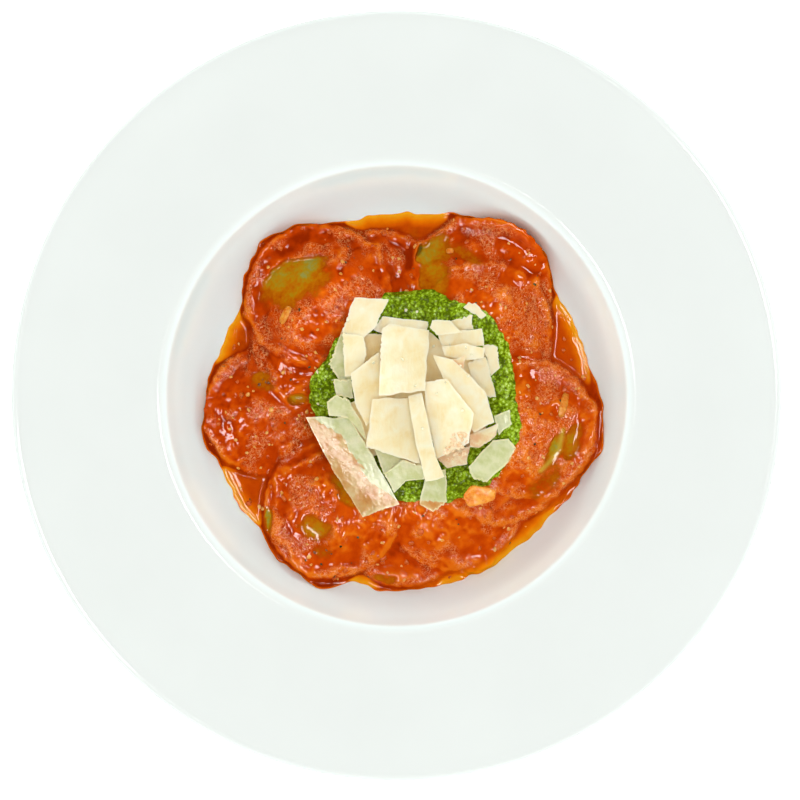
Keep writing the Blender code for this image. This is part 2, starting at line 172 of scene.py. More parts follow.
# Rays that find heights start there, well over the rim, and go down as far as that.
RAY_START = 0.2
RAY_LENGTH = 0.4
DOWN = Vector((0, 0, -1))


# ---------------------------------------------------------------- settings


class PlateSettings(bpy.types.PropertyGroup):
    tone: bpy.props.FloatVectorProperty(
        name="Porcelain", description="Colour of the glazed porcelain", subtype="COLOR",
        default=(0.765, 0.775, 0.755), min=0, max=1,
    )
    gloss: bpy.props.FloatProperty(
        name="Glaze roughness", description="Roughness of the glaze",
        default=0.09, min=0, max=1, subtype="FACTOR",
    )
    steps: bpy.props.IntProperty(
        name="Steps", description="Straight steps round the plate before it is smoothed",
        default=128, min=32, max=256,
    )


class RavioliSettings(bpy.types.PropertyGroup):
    green: bpy.props.FloatVectorProperty(
        name="Pasta", description="Colour of the green dough", subtype="COLOR",
        default=(0.16, 0.17, 0.035), min=0, max=1,
    )
    flutes: bpy.props.IntProperty(
        name="Flutes", description="Waves that the cutter left along the border",
        default=36, min=0, max=60,
    )
    flute_depth: bpy.props.FloatProperty(
        name="Flute depth", description="Depth of each wave", default=0.25 * MM, min=0, unit="LENGTH",
    )


class SauceSettings(bpy.types.PropertyGroup):
    coat: bpy.props.FloatProperty(
        name="Coat", description="Mean thickness of the sauce on the ravioli",
        default=1.35 * MM, min=0, unit="LENGTH",
    )
    lumps: bpy.props.FloatProperty(
        name="Lumps", description="Height of the coat's large lumps", default=0.5 * MM, min=0, unit="LENGTH",
    )
    grain: bpy.props.FloatProperty(
        name="Grain", description="Height of the fine pulp", default=0.2 * MM, min=0, unit="LENGTH",
    )
    steps: bpy.props.IntProperty(
        name="Steps", description="Points round the sauce", default=960, min=96, max=1000,
    )
    rings: bpy.props.IntProperty(
        name="Rings", description="Points across the sauce", default=92, min=10, max=98,
    )


class PestoSettings(bpy.types.PropertyGroup):
    green: bpy.props.FloatVectorProperty(
        name="Pesto", description="Colour of the basil paste", subtype="COLOR",
        default=(0.19, 0.29, 0.006), min=0, max=1,
    )
    grains: bpy.props.IntProperty(
        name="Grains", description="Loose bits of basil", default=2600, min=0, max=6000,
    )
    lumps: bpy.props.FloatProperty(
        name="Lumps", description="Height of the paste's lumps", default=0.55 * MM, min=0, unit="LENGTH",
    )


class CheeseSettings(bpy.types.PropertyGroup):
    thickness: bpy.props.FloatProperty(
        name="Thickness", description="Thickness of a shaving",
        default=0.75 * MM, min=0.1 * MM, unit="LENGTH",
    )
    ragged: bpy.props.FloatProperty(
        name="Ragged", description="How far the shavings' edges wander",
        default=0.14 * MM, min=0, unit="LENGTH",
    )
    cream: bpy.props.FloatVectorProperty(
        name="Cheese", description="Colour of the dry cheese", subtype="COLOR",
        default=(0.955, 0.76, 0.44), min=0, max=1,
    )


class TrimmingSettings(bpy.types.PropertyGroup):
    herbs: bpy.props.IntProperty(
        name="Herbs", description="Flecks of herb in the sauce", default=36, min=0, max=400,
    )
    seeds: bpy.props.IntProperty(name="Seeds", description="Tomato seeds", default=130, min=0, max=400)
    pulp: bpy.props.IntProperty(name="Pulp", description="Bits of tomato flesh", default=150, min=0, max=600)
    crumbs: bpy.props.IntProperty(name="Crumbs", description="Crumbs of cheese", default=24, min=0, max=400)


class StageSettings(bpy.types.PropertyGroup):
    distance: bpy.props.FloatProperty(
        name="Camera height", description="Height of the camera over the rim",
        default=0.864, min=0.1, unit="LENGTH",
    )
    lens: bpy.props.FloatProperty(
        name="Lens", description="Focal length", default=100.0, min=10, unit="CAMERA",
    )


# ---------------------------------------------------------------- helpers


def settings(name):
    return getattr(bpy.context.scene, name)


def deselect_all():
    for obj in bpy.context.view_layer.objects:
        obj.select_set(False)


def make_active(obj):
    deselect_all()
    obj.select_set(True)
    bpy.context.view_layer.objects.active = obj


def shade_smooth(obj, degrees=None):
    make_active(obj)
    if degrees is None:
        bpy.ops.object.shade_smooth()
    else:
        bpy.ops.object.shade_smooth_by_angle(angle=math.radians(degrees))


def merged_copy(node, name):
    """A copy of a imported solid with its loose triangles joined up."""
    source = frame["nodes"][node]
    obj = bpy.data.objects.new(name, source.data.copy())
    bpy.context.scene.collection.objects.link(obj)
    obj.data.materials.clear()
    make_active(obj)
    if obj.data.has_custom_normals:
        bpy.ops.mesh.customdata_custom_splitnormals_clear()
    bpy.ops.object.mode_set(mode="EDIT")
    bpy.ops.mesh.select_all(action="SELECT")
    bpy.ops.mesh.remove_doubles(threshold=0.02 * MM)
    bpy.ops.mesh.normals_make_consistent(inside=False)
    bpy.ops.object.mode_set(mode="OBJECT")
    return obj


def subdivided(obj, levels):
    """Applies a Subdivision Surface modifier."""
    make_active(obj)
    smooth = obj.modifiers.new("Subdivision", "SUBSURF")
    smooth.levels = smooth.render_levels = levels
    bpy.ops.object.modifier_apply(modifier=smooth.name)


def points_of(mesh):
    found = np.empty(3 * len(mesh.vertices))
    mesh.vertices.foreach_get("co", found)
    return found.reshape(-1, 3)


def set_points(mesh, points):
    mesh.vertices.foreach_set("co", np.ascontiguousarray(points, dtype=np.float32).ravel())
    mesh.update()


def set_attribute(mesh, name, values):
    layer = mesh.attributes.new(name, "FLOAT", "POINT")
    layer.data.foreach_set("value", np.ascontiguousarray(values, dtype=np.float32))


def new_object(name, points, faces):
    mesh = bpy.data.meshes.new(name)
    mesh.from_pydata(np.asarray(points).tolist(), [], faces)
    mesh.update()
    obj = bpy.data.objects.new(name, mesh)
    bpy.context.scene.collection.objects.link(obj)
    return obj


def finish_piece(obj, material, slot, *nodes):
    """Gives the piece its material and says what it rides on and stands for."""
    obj.data.materials.clear()
    obj.data.materials.append(material)
    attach(obj, "root")
    if nodes:
        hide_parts(*nodes)


def tree_of(*objects):
    """One search tree over the meshes of several pieces."""
    points, faces, start = [], [], 0
    for obj in objects:
        points.extend(points_of(obj.data).tolist())
        faces.extend([start + v for v in face.vertices] for face in obj.data.polygons)
        start = len(points)
    return BVHTree.FromPolygons(points, faces)


def heights(tree, x, y, missing=-1.0):
    """The highest point of a tree under each place, or the missing value where nothing is hit."""
    shape = np.shape(x)
    found = np.full(np.size(x), missing)
    for i, (a, b) in enumerate(zip(np.ravel(x).tolist(), np.ravel(y).tolist())):
        hit = tree.ray_cast(Vector((a, b, RAY_START)), DOWN, RAY_LENGTH)[0]
        if hit is not None:
            found[i] = hit.z
    return found.reshape(shape)


def smooth_step(low, high, value):
    share = np.clip((value - low) / (high - low), 0, 1)
    return share * share * (3 - 2 * share)


def spectrum(shape, sigma):
    """The response of a Gaussian blur of that many cells, over the grid's frequencies."""
    across = np.fft.fftfreq(shape[0])[:, None]
    along = np.fft.rfftfreq(shape[1])[None, :]
    return np.exp(-2 * (math.pi * sigma) ** 2 * (across**2 + along**2))


def blurred(field, size):
    """The field blurred over that many metres."""
    sigma = size / MAP_STEP
    pad = int(3 * sigma) + 2
    wide = np.pad(field, pad, mode="edge")
    out = np.fft.irfft2(np.fft.rfft2(wide) * spectrum(wide.shape, sigma), s=wide.shape)
    return out[pad:-pad, pad:-pad]


def spread(field, cells):
    """Each value becomes the highest within that many cells."""
    padded = np.pad(field, cells, mode="edge")
    n, m = field.shape
    found = field.copy()
    for i in range(2 * cells + 1):
        for j in range(2 * cells + 1):
            if (i - cells) ** 2 + (j - cells) ** 2 <= cells**2 + 1:
                found = np.maximum(found, padded[i : i + n, j : j + m])
    return found


def noise_field(draw, size):
    """Smooth random bumps about that many metres across, with a mean of 0 and a spread of 1."""
    white = draw.standard_normal((MAP_COUNT, MAP_COUNT))
    out = np.fft.irfft2(np.fft.rfft2(white) * spectrum(white.shape, 0.3 * size / MAP_STEP), s=white.shape)
    return (out - out.mean()) / out.std()


def read_map(field, x, y):
    """The field between its grid points."""
    i = np.clip((np.asarray(x) + MAP_HALF) / MAP_STEP, 0, MAP_COUNT - 1.001)
    j = np.clip((np.asarray(y) + MAP_HALF) / MAP_STEP, 0, MAP_COUNT - 1.001)
    a, b = i.astype(int), j.astype(int)
    u, v = i - a, j - b
    near = field[a, b] * (1 - v) + field[a, b + 1] * v
    far = field[a + 1, b] * (1 - v) + field[a + 1, b + 1] * v
    return near * (1 - u) + far * u


def round_noise(draw, count, waves):
    """A closed run of random values with a spread of 1, with about that many waves round it."""
    turn = TAU * np.arange(count) / count
    out = np.zeros(count)
    for wave in range(1, int(1.6 * waves) + 1):
        share = math.exp(-((wave / waves - 1) ** 2) / 0.18) + 0.25 * (wave < waves)
        phase, size = draw.uniform(0, TAU), draw.standard_normal()
        out += share * size * np.cos(wave * turn + phase)
    return out / out.std()


def plate_height(radius):
    out, up = zip(*PLATE_UPPER)
    return np.interp(np.asarray(radius) / MM, out, up) * MM


def middle_of(node):
    low, high = (np.array(corner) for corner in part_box(node))
    return (low + high) / 2


def pasta_crease():
    """The pale fold of dough that shows through a thin patch: 1 along its line, 0 away from it."""
    node, corners = CREASE
    at = middle_of(node)
    away = np.full(MAP_X.shape, 1.0)
    for (x0, y0), (x1, y1) in zip(corners, corners[1:]):
        start = at[:2] + np.array((x0, y0)) * MM
        step = np.array((x1 - x0, y1 - y0)) * MM
        share = ((MAP_X - start[0]) * step[0] + (MAP_Y - start[1]) * step[1]) / (step @ step)
        share = np.clip(share, 0, 1)
        aside_x = MAP_X - start[0] - share * step[0]
        aside_y = MAP_Y - start[1] - share * step[1]
        away = np.minimum(away, np.hypot(aside_x, aside_y))
    return np.exp(-((away / CREASE_WIDTH) ** 2))


def thinness(x, y, wobble=0.0):
    """How much of the sauce is gone: 0 where it lies thick, 1 where the pasta is bare."""
    gone = np.zeros(np.shape(x))
    for node, right, up, long, wide, turn, crisp, strength in THIN_PATCHES:
        at = middle_of(node)
        dx = (x - at[0]) / MM - right
        dy = (y - at[1]) / MM - up
        angle = math.radians(turn)
        u = (dx * math.cos(angle) + dy * math.sin(angle)) / long
        v = (-dx * math.sin(angle) + dy * math.cos(angle)) / wide
        away = np.sqrt(u * u + v * v) + wobble / math.sqrt(0.2 * long * wide)
        soft = PATCH_SOFTNESS
        if crisp is not None:
            towards = np.cos(np.arctan2(dy, dx) - math.radians(crisp))
            soft = soft - (PATCH_SOFTNESS - PATCH_CRISPNESS) * smooth_step(0.1, 0.7, towards)
        gone = np.maximum(gone, strength * (1 - smooth_step(1 - soft, 1 + soft, away)))
    return gone


# ---------------------------------------------------------------- materials


def set_stops(band, stops):
    """Fills a colour band. Each stop is a place and either a colour or a grey value."""
    while len(band.elements) < len(stops):
        band.elements.new(0.5)
    for element, (at, colour) in zip(band.elements, stops):
        element.position = at
        element.color = (*colour, 1) if isinstance(colour, tuple) else (colour, colour, colour, 1)


class Finish:
    """The node tree of one procedural material."""

    def __init__(self, name, **values):
        self.material = bpy.data.materials.new(name)
        self.material.use_nodes = True
        self.tree = self.material.node_tree
        self.shader = self.tree.nodes["Principled BSDF"]
        for socket, value in values.items():
            self.shader.inputs[socket.replace("_", " ")].default_value = value
        coordinates = self.add("TexCoord").outputs["Object"]
        self.place = self.add("Mapping")
        self.place.inputs["Scale"].default_value = (1 / MM, 1 / MM, 1 / MM)
        self.link(coordinates, self.place.inputs["Vector"])

    def add(self, kind, **values):
        node = self.tree.nodes.new("ShaderNode" + kind)
        for name, value in values.items():
            setattr(node, name, value)
        return node

    def link(self, source, target):
        self.tree.links.new(source, target)

    def feed(self, socket, value):
        """Links a socket to another one, or gives it a number or a colour."""
        if isinstance(value, bpy.types.NodeSocket):
            self.link(value, socket)
        else:
            socket.default_value = (*value, 1) if isinstance(value, tuple) else value

    def axis(self, name):
        """The place along one axis, in millimetres."""
        parts = self.add("SeparateXYZ")
        self.link(self.place.outputs["Vector"], parts.inputs["Vector"])
        return parts.outputs[name]

    def noise(self, size, detail=3.0, roughness=0.5, distortion=0.0, place=None, shift=0.0):
        """Noise with features about that many millimetres across."""
        node = self.add("TexNoise")
        if shift:
            node.noise_dimensions = "4D"
            node.inputs["W"].default_value = shift
        for name, value in (
            ("Scale", 1 / size), ("Detail", detail), ("Roughness", roughness), ("Distortion", distortion)
        ):
            node.inputs[name].default_value = value
        self.link(place or self.place.outputs["Vector"], node.inputs["Vector"])
        return node.outputs["Fac"]

    def wander(self, gain, *noise, **more):
        """Noise that swings about 0 instead of 0.5, that many times as strong."""
        return self.math("MULTIPLY", self.math("SUBTRACT", self.noise(*noise, **more), 0.5), gain)

    def cells(self, size, detail=0.0):
        """Distance to the middle of the nearest cell, with cells about that many millimetres across."""
        node = self.add("TexVoronoi")
        node.inputs["Scale"].default_value = 1 / size
        node.inputs["Detail"].default_value = detail
        self.link(self.place.outputs["Vector"], node.inputs["Vector"])
        return node.outputs["Distance"]

    def attribute(self, name):
        return self.add("Attribute", attribute_name=name).outputs["Fac"]

    def ramp(self, factor, *stops):
        """A colour ramp. Each stop is a place and either a colour or a grey value."""
        node = self.add("ValToRGB")
        set_stops(node.color_ramp, stops)
        self.link(factor, node.inputs["Fac"])
        return node.outputs["Color"]

    def mix(self, factor, first, second, how="MIX"):
        """A colour mix; the factor and both colours may be sockets or values."""
        node = self.add("Mix", data_type="RGBA", blend_type=how)
        for socket, value in zip((node.inputs[0], node.inputs[6], node.inputs[7]), (factor, first, second)):
            self.feed(socket, value)
        return node.outputs[2]

    def math(self, how, first, second=0.0, clamp=False):
        node = self.add("Math", operation=how, use_clamp=clamp)
        for socket, value in zip(node.inputs, (first, second)):
            self.feed(socket, value)
        return node.outputs[0]

    def bump(self, height, depth, strength=1.0, after=None):
        """A bump that many millimetres deep. Returns the normal, also to be passed on to the next bump."""
        node = self.add("Bump")
        node.inputs["Distance"].default_value = depth * MM
        node.inputs["Strength"].default_value = strength
        self.link(height, node.inputs["Height"])
        if after is not None:
            self.link(after, node.inputs["Normal"])
        return node.outputs["Normal"]

    def into(self, socket, source):
        self.link(source, self.shader.inputs[socket])


def porcelain_finish(tone, gloss):
    """White glaze, painted brighter and cooler in the well: painted light in place of what the well's shade
    and the sauce's red bounce take away.
    """
    made = Finish("white_porcelain", IOR=1.5, Specular_IOR_Level=0.3)
    across, along = (made.math("POWER", made.axis(name), 2.0) for name in "XY")
    away = made.math("DIVIDE", made.math("SQRT", made.math("ADD", across, along)), 150.0)
    # Painted light: the well is given a brighter, cooler white than the rim.
    well = made.ramp(away, (0.585, 1.0), (0.62, 0.0))
    darker, lighter = (tuple(min(1, share * c) for c in tone) for share in (0.985, 1.01))
    tint = made.ramp(made.noise(45, 3), (0.3, darker), (0.7, lighter))
    made.into("Base Color", made.mix(well, tint, (0.90, 1.0, 1.0)))
    smear = made.ramp(made.noise(14, 4), (0.35, gloss * 0.8), (0.7, gloss * 1.3))
    made.into("Roughness", smear)
    made.into("Normal", made.bump(made.noise(9, 2), 0.02, 0.6))
    return made.material


def pasta_finish(green):
    made = Finish("spinach_pasta_wet", IOR=1.42, Subsurface_Weight=0.08, Subsurface_Scale=0.002)
    patches = made.noise(7, 4, 0.6)
    body = made.ramp(
        patches,
        (0.3, tuple(0.62 * c for c in green)),
        (0.5, green),
        (0.72, (0.30, 0.27, 0.06)),
    )
    flecks = made.ramp(made.noise(0.9, 2, shift=3.1), (0.57, 0.0), (0.68, 0.75))
    body = made.mix(flecks, body, (0.055, 0.085, 0.012))
    stain = made.attribute("stain")
    stained = made.ramp(
        made.noise(5, 3, shift=7.7), (0.35, (0.34, 0.13, 0.012)), (0.7, (0.42, 0.25, 0.03))
    )
    body = made.mix(made.math("MULTIPLY", stain, 0.85), body, stained)
    made.into("Base Color", body)
    made.into("Roughness", made.ramp(made.noise(2.4, 3), (0.3, 0.22), (0.75, 0.42)))
    first = made.bump(made.noise(2.6, 4, 0.6), 0.25, 0.5)
    made.into("Normal", made.bump(made.noise(0.7, 2), 0.1, 0.4, first))
    return made.material


def sauce_finish():
    """Glossy pulp, with painted shade deep red in the valleys and painted light on the ridges, painted glint
    lines where the pulp is grainy, and yellow oil at the border of the pool.
    """
    made = Finish("tomato_sauce_wet", IOR=1.4)
    # Painted shade and painted light: the colour is darker in the hollows and lighter on the ridges, by how
    # far the sauce rises over its surroundings.
    relief_shade = made.attribute("relief_shade")
    fine = made.wander(0.35, 1.6, 2, 0.5, shift=2.2)
    tone = made.math("ADD", made.math("ADD", relief_shade, made.wander(0.9, 7.5, 3, 0.5, 0.4)), fine)
    body = made.ramp(
        tone,
        (0.0, (0.33, 0.022, 0.0004)),
        (0.25, (0.53, 0.044, 0.0006)),
        (0.5, (0.64, 0.066, 0.0010)),
        (0.75, (0.74, 0.100, 0.0020)),
        (1.0, (0.84, 0.17, 0.0060)),
    )
    gone = made.attribute("gone")
    uneven = made.math("ADD", made.wander(1.0, 6.5, 2, 0.5, shift=5.2), made.wander(0.5, 1.3, 2))
    drift = made.math("MULTIPLY", uneven, made.ramp(gone, (0.03, 0.0), (0.35, 1.0)))
    bare = made.math("ADD", made.math("MULTIPLY", gone, 0.92), drift)
    # The darkest red at the low end of this band is a painted shadow round the patches, where the thick sauce
    # steps down to them; higher up, the pasta's colour shows through a thinning skin of sauce.
    thin = made.ramp(
        bare,
        (0.1, (0.42, 0.035, 0.0008)),
        (0.35, (0.46, 0.085, 0.0010)),
        (0.58, (0.55, 0.150, 0.0010)),
        (0.74, (0.50, 0.225, 0.0020)),
        (0.86, (0.42, 0.280, 0.0120)),
        (0.97, (0.34, 0.310, 0.0600)),
    )
    grain_and_glint = made.attribute("grain_and_glint")
    pulp = made.noise(1.05, 1, 0.5, 0.6, shift=1.4)
    # Painted highlights: pale squiggles in place of glints on the grainy pulp, partly the pulp's own paler
    # fibres, where the surface leans towards the lamps.
    glint_threads = made.ramp(made.noise(1.4, 2, 0.5, 0.8, shift=8.3), (0.44, 0.0), (0.5, 0.6), (0.56, 0.0))
    pale = made.math("MULTIPLY", glint_threads, made.ramp(grain_and_glint, (0.1, 0.0), (0.8, 1.0)))
    body = made.mix(pale, body, (1.0, 0.43, 0.15))
    body = made.mix(made.ramp(bare, (0.08, 0.0), (0.4, 1.0)), body, thin)
    pool = made.attribute("pool")
    swirl = made.math("ADD", pool, made.wander(0.3, 3.2, 3))
    oil = made.ramp(
        swirl,
        (0.1, (0.50, 0.045, 0.001)),
        (0.4, (0.72, 0.110, 0.001)),
        (0.7, (0.92, 0.220, 0.001)),
        (1.0, (1.00, 0.410, 0.010)),
    )
    body = made.mix(made.ramp(swirl, (0.08, 0.0), (0.35, 1.0)), body, oil)
    body = made.mix(made.attribute("crease"), body, (0.62, 0.43, 0.045))
    made.into("Base Color", body)
    wet = made.ramp(made.math("ADD", relief_shade, fine), (0.25, 0.02), (0.8, 0.05))
    made.into("Roughness", made.mix(made.ramp(bare, (0.4, 0.0), (0.8, 1.0)), wet, (0.13, 0.13, 0.13)))
    grain = made.math("MULTIPLY", pulp, made.ramp(grain_and_glint, (0.0, 0.06), (0.7, 1.0)))
    made.into("Normal", made.bump(grain, 0.5, 1.0))
    return made.material


def pesto_finish(green, name="basil_pesto_paste", shade=1.0):
    """Basil paste: pale grains, darker between them, with painted light that makes it paler towards the left
    and right sides.
    """
    made = Finish(name, IOR=1.36, Specular_IOR_Level=0.3)
    fine = made.math("MULTIPLY", made.noise(0.9), 0.4)
    grain = made.math("ADD", made.math("MULTIPLY", made.cells(1.5, 1.0), 0.42), fine)
    broad = made.math("MULTIPLY", made.noise(4.5, 3, 0.6, shift=1.1), 0.75)
    # Painted light: paler the further the paste lies to the left or right, where the lamps stand.
    aside = made.math("MULTIPLY", made.math("ABSOLUTE", made.axis("X")), 0.0024)
    tone = made.math("SUBTRACT", made.math("ADD", grain, broad), aside)
    body = made.ramp(
        tone,
        (0.46, (0.80 * shade, 0.98 * shade, 0.420 * shade)),
        (0.60, (0.60 * shade, 0.80 * shade, 0.120 * shade)),
        (0.74, tuple(1.66 * shade * c for c in green)),
        (0.94, (0.10 * shade, 0.15 * shade, 0.0005)),
    )
    made.into("Base Color", body)
    made.into("Roughness", made.ramp(made.noise(1.2, 2), (0.3, 0.08), (0.7, 0.2)))
    made.into("Normal", made.bump(made.math("SUBTRACT", 1.0, grain), 0.34, 1.0))
    return made.material


def cheese_finish(name, cream, stain=None, wet=False, depth=0.4):
    """Hard cheese. Stained shavings have sucked up sauce; wet ones let what lies under them shine through."""
    made = Finish(
        name, IOR=1.44, Subsurface_Weight=depth, Subsurface_Scale=0.003, Subsurface_Radius=(1.0, 0.85, 0.6)
    )
    pale = tuple(0.5 * c + 0.5 * w for c, w in zip(cream, (0.96, 0.92, 0.74)))
    warm = tuple(c * w for c, w in zip(cream, (0.96, 0.88, 0.72)))
    body = made.ramp(made.noise(7.0, 3, 0.5, 0.6), (0.3, warm), (0.5, cream), (0.72, pale))
    streak = made.add("Mapping")
    streak.inputs["Scale"].default_value = (1.0, 0.22, 1.0)
    made.link(made.place.outputs["Vector"], streak.inputs["Vector"])
    lines = made.ramp(made.noise(1.1, 3, 0.6, place=streak.outputs["Vector"]), (0.46, 0.0), (0.68, 0.3))
    body = made.mix(lines, body, pale)
    rim = made.attribute("rim")
    if wet:
        over = made.math("ADD", made.attribute("over"), made.wander(0.7, 6.0, 3, 0.55, shift=3.3), clamp=True)
        rosy = made.ramp(
            made.noise(5.0, 3, 0.6, shift=9.2),
            (0.35, (0.72, 0.30, 0.08)),
            (0.55, (0.78, 0.45, 0.16)),
            (0.7, (0.88, 0.62, 0.30)),
        )
        leafy = made.ramp(
            made.noise(5.0, 3, 0.6, shift=5.2),
            (0.35, (0.66, 0.67, 0.30)),
            (0.55, (0.83, 0.80, 0.46)),
            (0.7, (0.93, 0.86, 0.54)),
        )
        seen = made.mix(made.ramp(over, (0.35, 0.0), (0.65, 1.0)), rosy, leafy)
        broken = made.ramp(made.noise(3.5), (0.4, 0.1), (0.6, 0.8))
        edge = made.math("MULTIPLY", made.ramp(rim, (0.2, 0.0), (0.9, 1.0)), broken)
        body = made.mix(edge, seen, (0.97, 0.80, 0.42))
        made.into("Alpha", made.ramp(rim, (0.0, 0.82), (0.6, 1.0)))
        made.into("Roughness", made.ramp(made.noise(3, 2), (0.3, 0.12), (0.7, 0.28)))
        made.into("Normal", made.bump(made.noise(2.8, 2, 0.5), 0.3, 1.0))
    else:
        body = made.mix(made.math("MULTIPLY", rim, 0.4), body, (0.96, 0.90, 0.68))
        made.into("Roughness", made.ramp(made.noise(1.6, 2), (0.3, 0.34), (0.7, 0.55)))
        first = made.bump(made.noise(3.0, 3, 0.5), 0.2, 0.5)
        fine = made.noise(0.6, 2, 0.6, place=streak.outputs["Vector"])
        made.into("Normal", made.bump(fine, 0.08, 0.6, first))
    if stain is not None:
        blot = made.ramp(made.noise(4.5, 4, 0.6, shift=6.1), (0.40, 0.0), (0.60, 0.9))
        body = made.mix(blot, body, stain)
    made.into("Base Color", body)
    return made.material


def bit_finish(name, dark, light, size=1.5, roughness=(0.2, 0.4), bump=0.3):
    """Small wet bits whose colour wanders between two tones."""
    made = Finish(name, IOR=1.42)
    made.into("Base Color", made.ramp(made.noise(size, 3, 0.6), (0.32, dark), (0.68, light)))
    made.into("Roughness", made.ramp(made.noise(size / 2, 2), (0.3, roughness[0]), (0.7, roughness[1])))
    made.into("Normal", made.bump(made.noise(size / 2, 3), bump, 0.7))
    return made.material


# ---------------------------------------------------------------- the plate


def spun(name, outline, steps):
    """A closed shape spun from its outline of radius and height, in millimetres."""
    deselect_all()
    bpy.ops.mesh.primitive_plane_add(size=MM, location=(outline[0][0] * MM, 0, outline[0][1] * MM))
    obj = bpy.context.active_object
    obj.name = obj.data.name = name
    bpy.ops.object.transform_apply(location=True, rotation=True, scale=True)
    bpy.ops.object.mode_set(mode="EDIT")
    bpy.ops.mesh.select_all(action="SELECT")
    bpy.ops.mesh.merge(type="CENTER")
    for (r0, z0), (r1, z1) in zip(outline, outline[1:]):
        step = ((r1 - r0) * MM, 0, (z1 - z0) * MM)
        bpy.ops.mesh.extrude_region_move(TRANSFORM_OT_translate={"value": step})
    bpy.ops.mesh.select_all(action="SELECT")
    bpy.ops.mesh.spin(steps=steps, angle=TAU, center=(0, 0, 0), axis=(0, 0, 1))
    bpy.ops.mesh.select_all(action="SELECT")
    bpy.ops.mesh.remove_doubles(threshold=0.01 * MM)
    bpy.ops.mesh.normals_make_consistent(inside=False)
    bpy.ops.object.mode_set(mode="OBJECT")
    return obj


class DISH_OT_plate(bpy.types.Operator):
    """Model the wide-rimmed porcelain plate"""

    bl_idname = "dish.plate"
    bl_label = "Plate"

    def execute(self, context):
        chosen = settings("dish_plate")
        plate = spun("pasta_plate", PLATE_UPPER + PLATE_LOWER, chosen.steps)
        subdivided(plate, 1)
        shade_smooth(plate)
        finish_piece(plate, porcelain_finish(tuple(chosen.tone), chosen.gloss), "porcelain", "plate")
        plate.visible_glossy = False
        return {"FINISHED"}


# ---------------------------------------------------------------- ravioli


class DISH_OT_ravioli(bpy.types.Operator):
    """Model the ravioli: smooth domes with a fluted border"""

    bl_idname = "dish.ravioli"
    bl_label = "Ravioli"

    def execute(self, context):
        chosen = settings("dish_ravioli")
        pasta = pasta_finish(tuple(chosen.green))
        draw = np.random.default_rng(11)
        lumps = noise_field(draw, 9 * MM)
        for node in RAVIOLI:
            raviolo = merged_copy(node, node + "_pasta")
            subdivided(raviolo, 3)
            points = points_of(raviolo.data)
            at = middle_of(node)
            away = points[:, :2] - at[:2]
            out = np.hypot(away[:, 0], away[:, 1])
            radius = out.max()
            turn = np.arctan2(away[:, 1], away[:, 0]) + draw.uniform(0, TAU)
            border = smooth_step(0.88 * radius, 0.99 * radius, out)
            wave = chosen.flute_depth * (np.cos(chosen.flutes * turn) - 0.4) * border
            points[:, :2] += away / np.maximum(out, 1e-6)[:, None] * wave[:, None]
            dome = 1 - smooth_step(0.55 * radius, 0.85 * radius, out)
            points[:, 2] += 0.35 * MM * dome * read_map(lumps, points[:, 0], points[:, 1])
            points[:, 2] += 0.25 * MM * border * np.sin(5 * turn)
            set_points(raviolo.data, points)
            stain = 1 - smooth_step(0.3, 0.9, thinness(points[:, 0], points[:, 1]))
            set_attribute(raviolo.data, "stain", stain)
            shade_smooth(raviolo)
            finish_piece(raviolo, pasta, "spinach_pasta", node)
        return {"FINISHED"}


# ---------------------------------------------------------------- sauce and pesto

# The sauce's sheet starts under the pesto, that far from the middle.
SAUCE_START = 22 * MM
# The thinnest that the sauce lies over the pasta.
SKIN = 0.12 * MM
# The thinnest that the pool lies on the plate.
FILM = 0.25 * MM
# Radius of the wet edges.
EDGE_ROUND = 3.6 * MM
# Where the sauce gathers over a raviolo's border, and how narrowly, as shares of the raviolo's radius.
COLLAR_AT, COLLAR_WIDTH = 0.84, 0.12
# Points round the pesto and across it.
PESTO_STEPS, PESTO_RINGS = 520, 118


def ring_faces(near, far, count):
    """Faces between two closed rings of points, given the first point of each ring."""
    start = np.arange(count)
    after = (start + 1) % count
    return np.stack((near + start, far + start, far + after, near + after), 1).tolist()


def blanket(name, middle, inner, outer, shares, top_at, under_at):
    """A closed sheet of food round a middle point, from an inner to an outer reach, in even turns."""
    steps = len(outer)
    turn = TAU * np.arange(steps) / steps

    def ring(share, height):
        out = inner + (outer - inner) * share
        x, y = middle[0] + out * np.cos(turn), middle[1] + out * np.sin(turn)
        return np.stack((x, y, height(x, y, outer - out)), 1)

    points = [ring(share, top_at) for share in shares]
    points += [ring(share, lambda x, y, _: under_at(x, y)) for share in (0.97, 0.6, 0.0)]
    rings, faces = len(points), []
    for number in range(rings):
        faces.extend(ring_faces(number * steps, (number + 1) % rings * steps, steps))
    return new_object(name, np.concatenate(points), faces)


def ring_shares(count, width, span):
    """Shares from 0 to 1 of a span, with nine close together over that width of its outer edge."""
    edge = 1 - width / span
    close = [1 - width / span * (1 - k) ** 1.6 for k in np.linspace(0, 1, 9)]
    return list(np.linspace(0, edge, count - 8)[:-1]) + close


def outer_reach(covered, steps, middle=(0.0, 0.0), low=58 * MM, high=MAP_HALF):
    """The furthest covered place in each direction, looked for from the low to the high reach."""
    turn = TAU * np.arange(steps) / steps
    out = np.arange(low, high, 0.2 * MM)
    x = middle[0] + out[None, :] * np.cos(turn)[:, None]
    y = middle[1] + out[None, :] * np.sin(turn)[:, None]
    hit = covered(x, y)
    last = hit.shape[1] - 1 - np.argmax(hit[:, ::-1], axis=1)
    return np.where(hit.any(1), out[last], 0.0)


def swell(degrees, at, width):
    """1 in one direction, falling off to 0 over about that many degrees on both sides."""
    return np.exp(-((((degrees - at + 180) % 360 - 180) / width) ** 2))


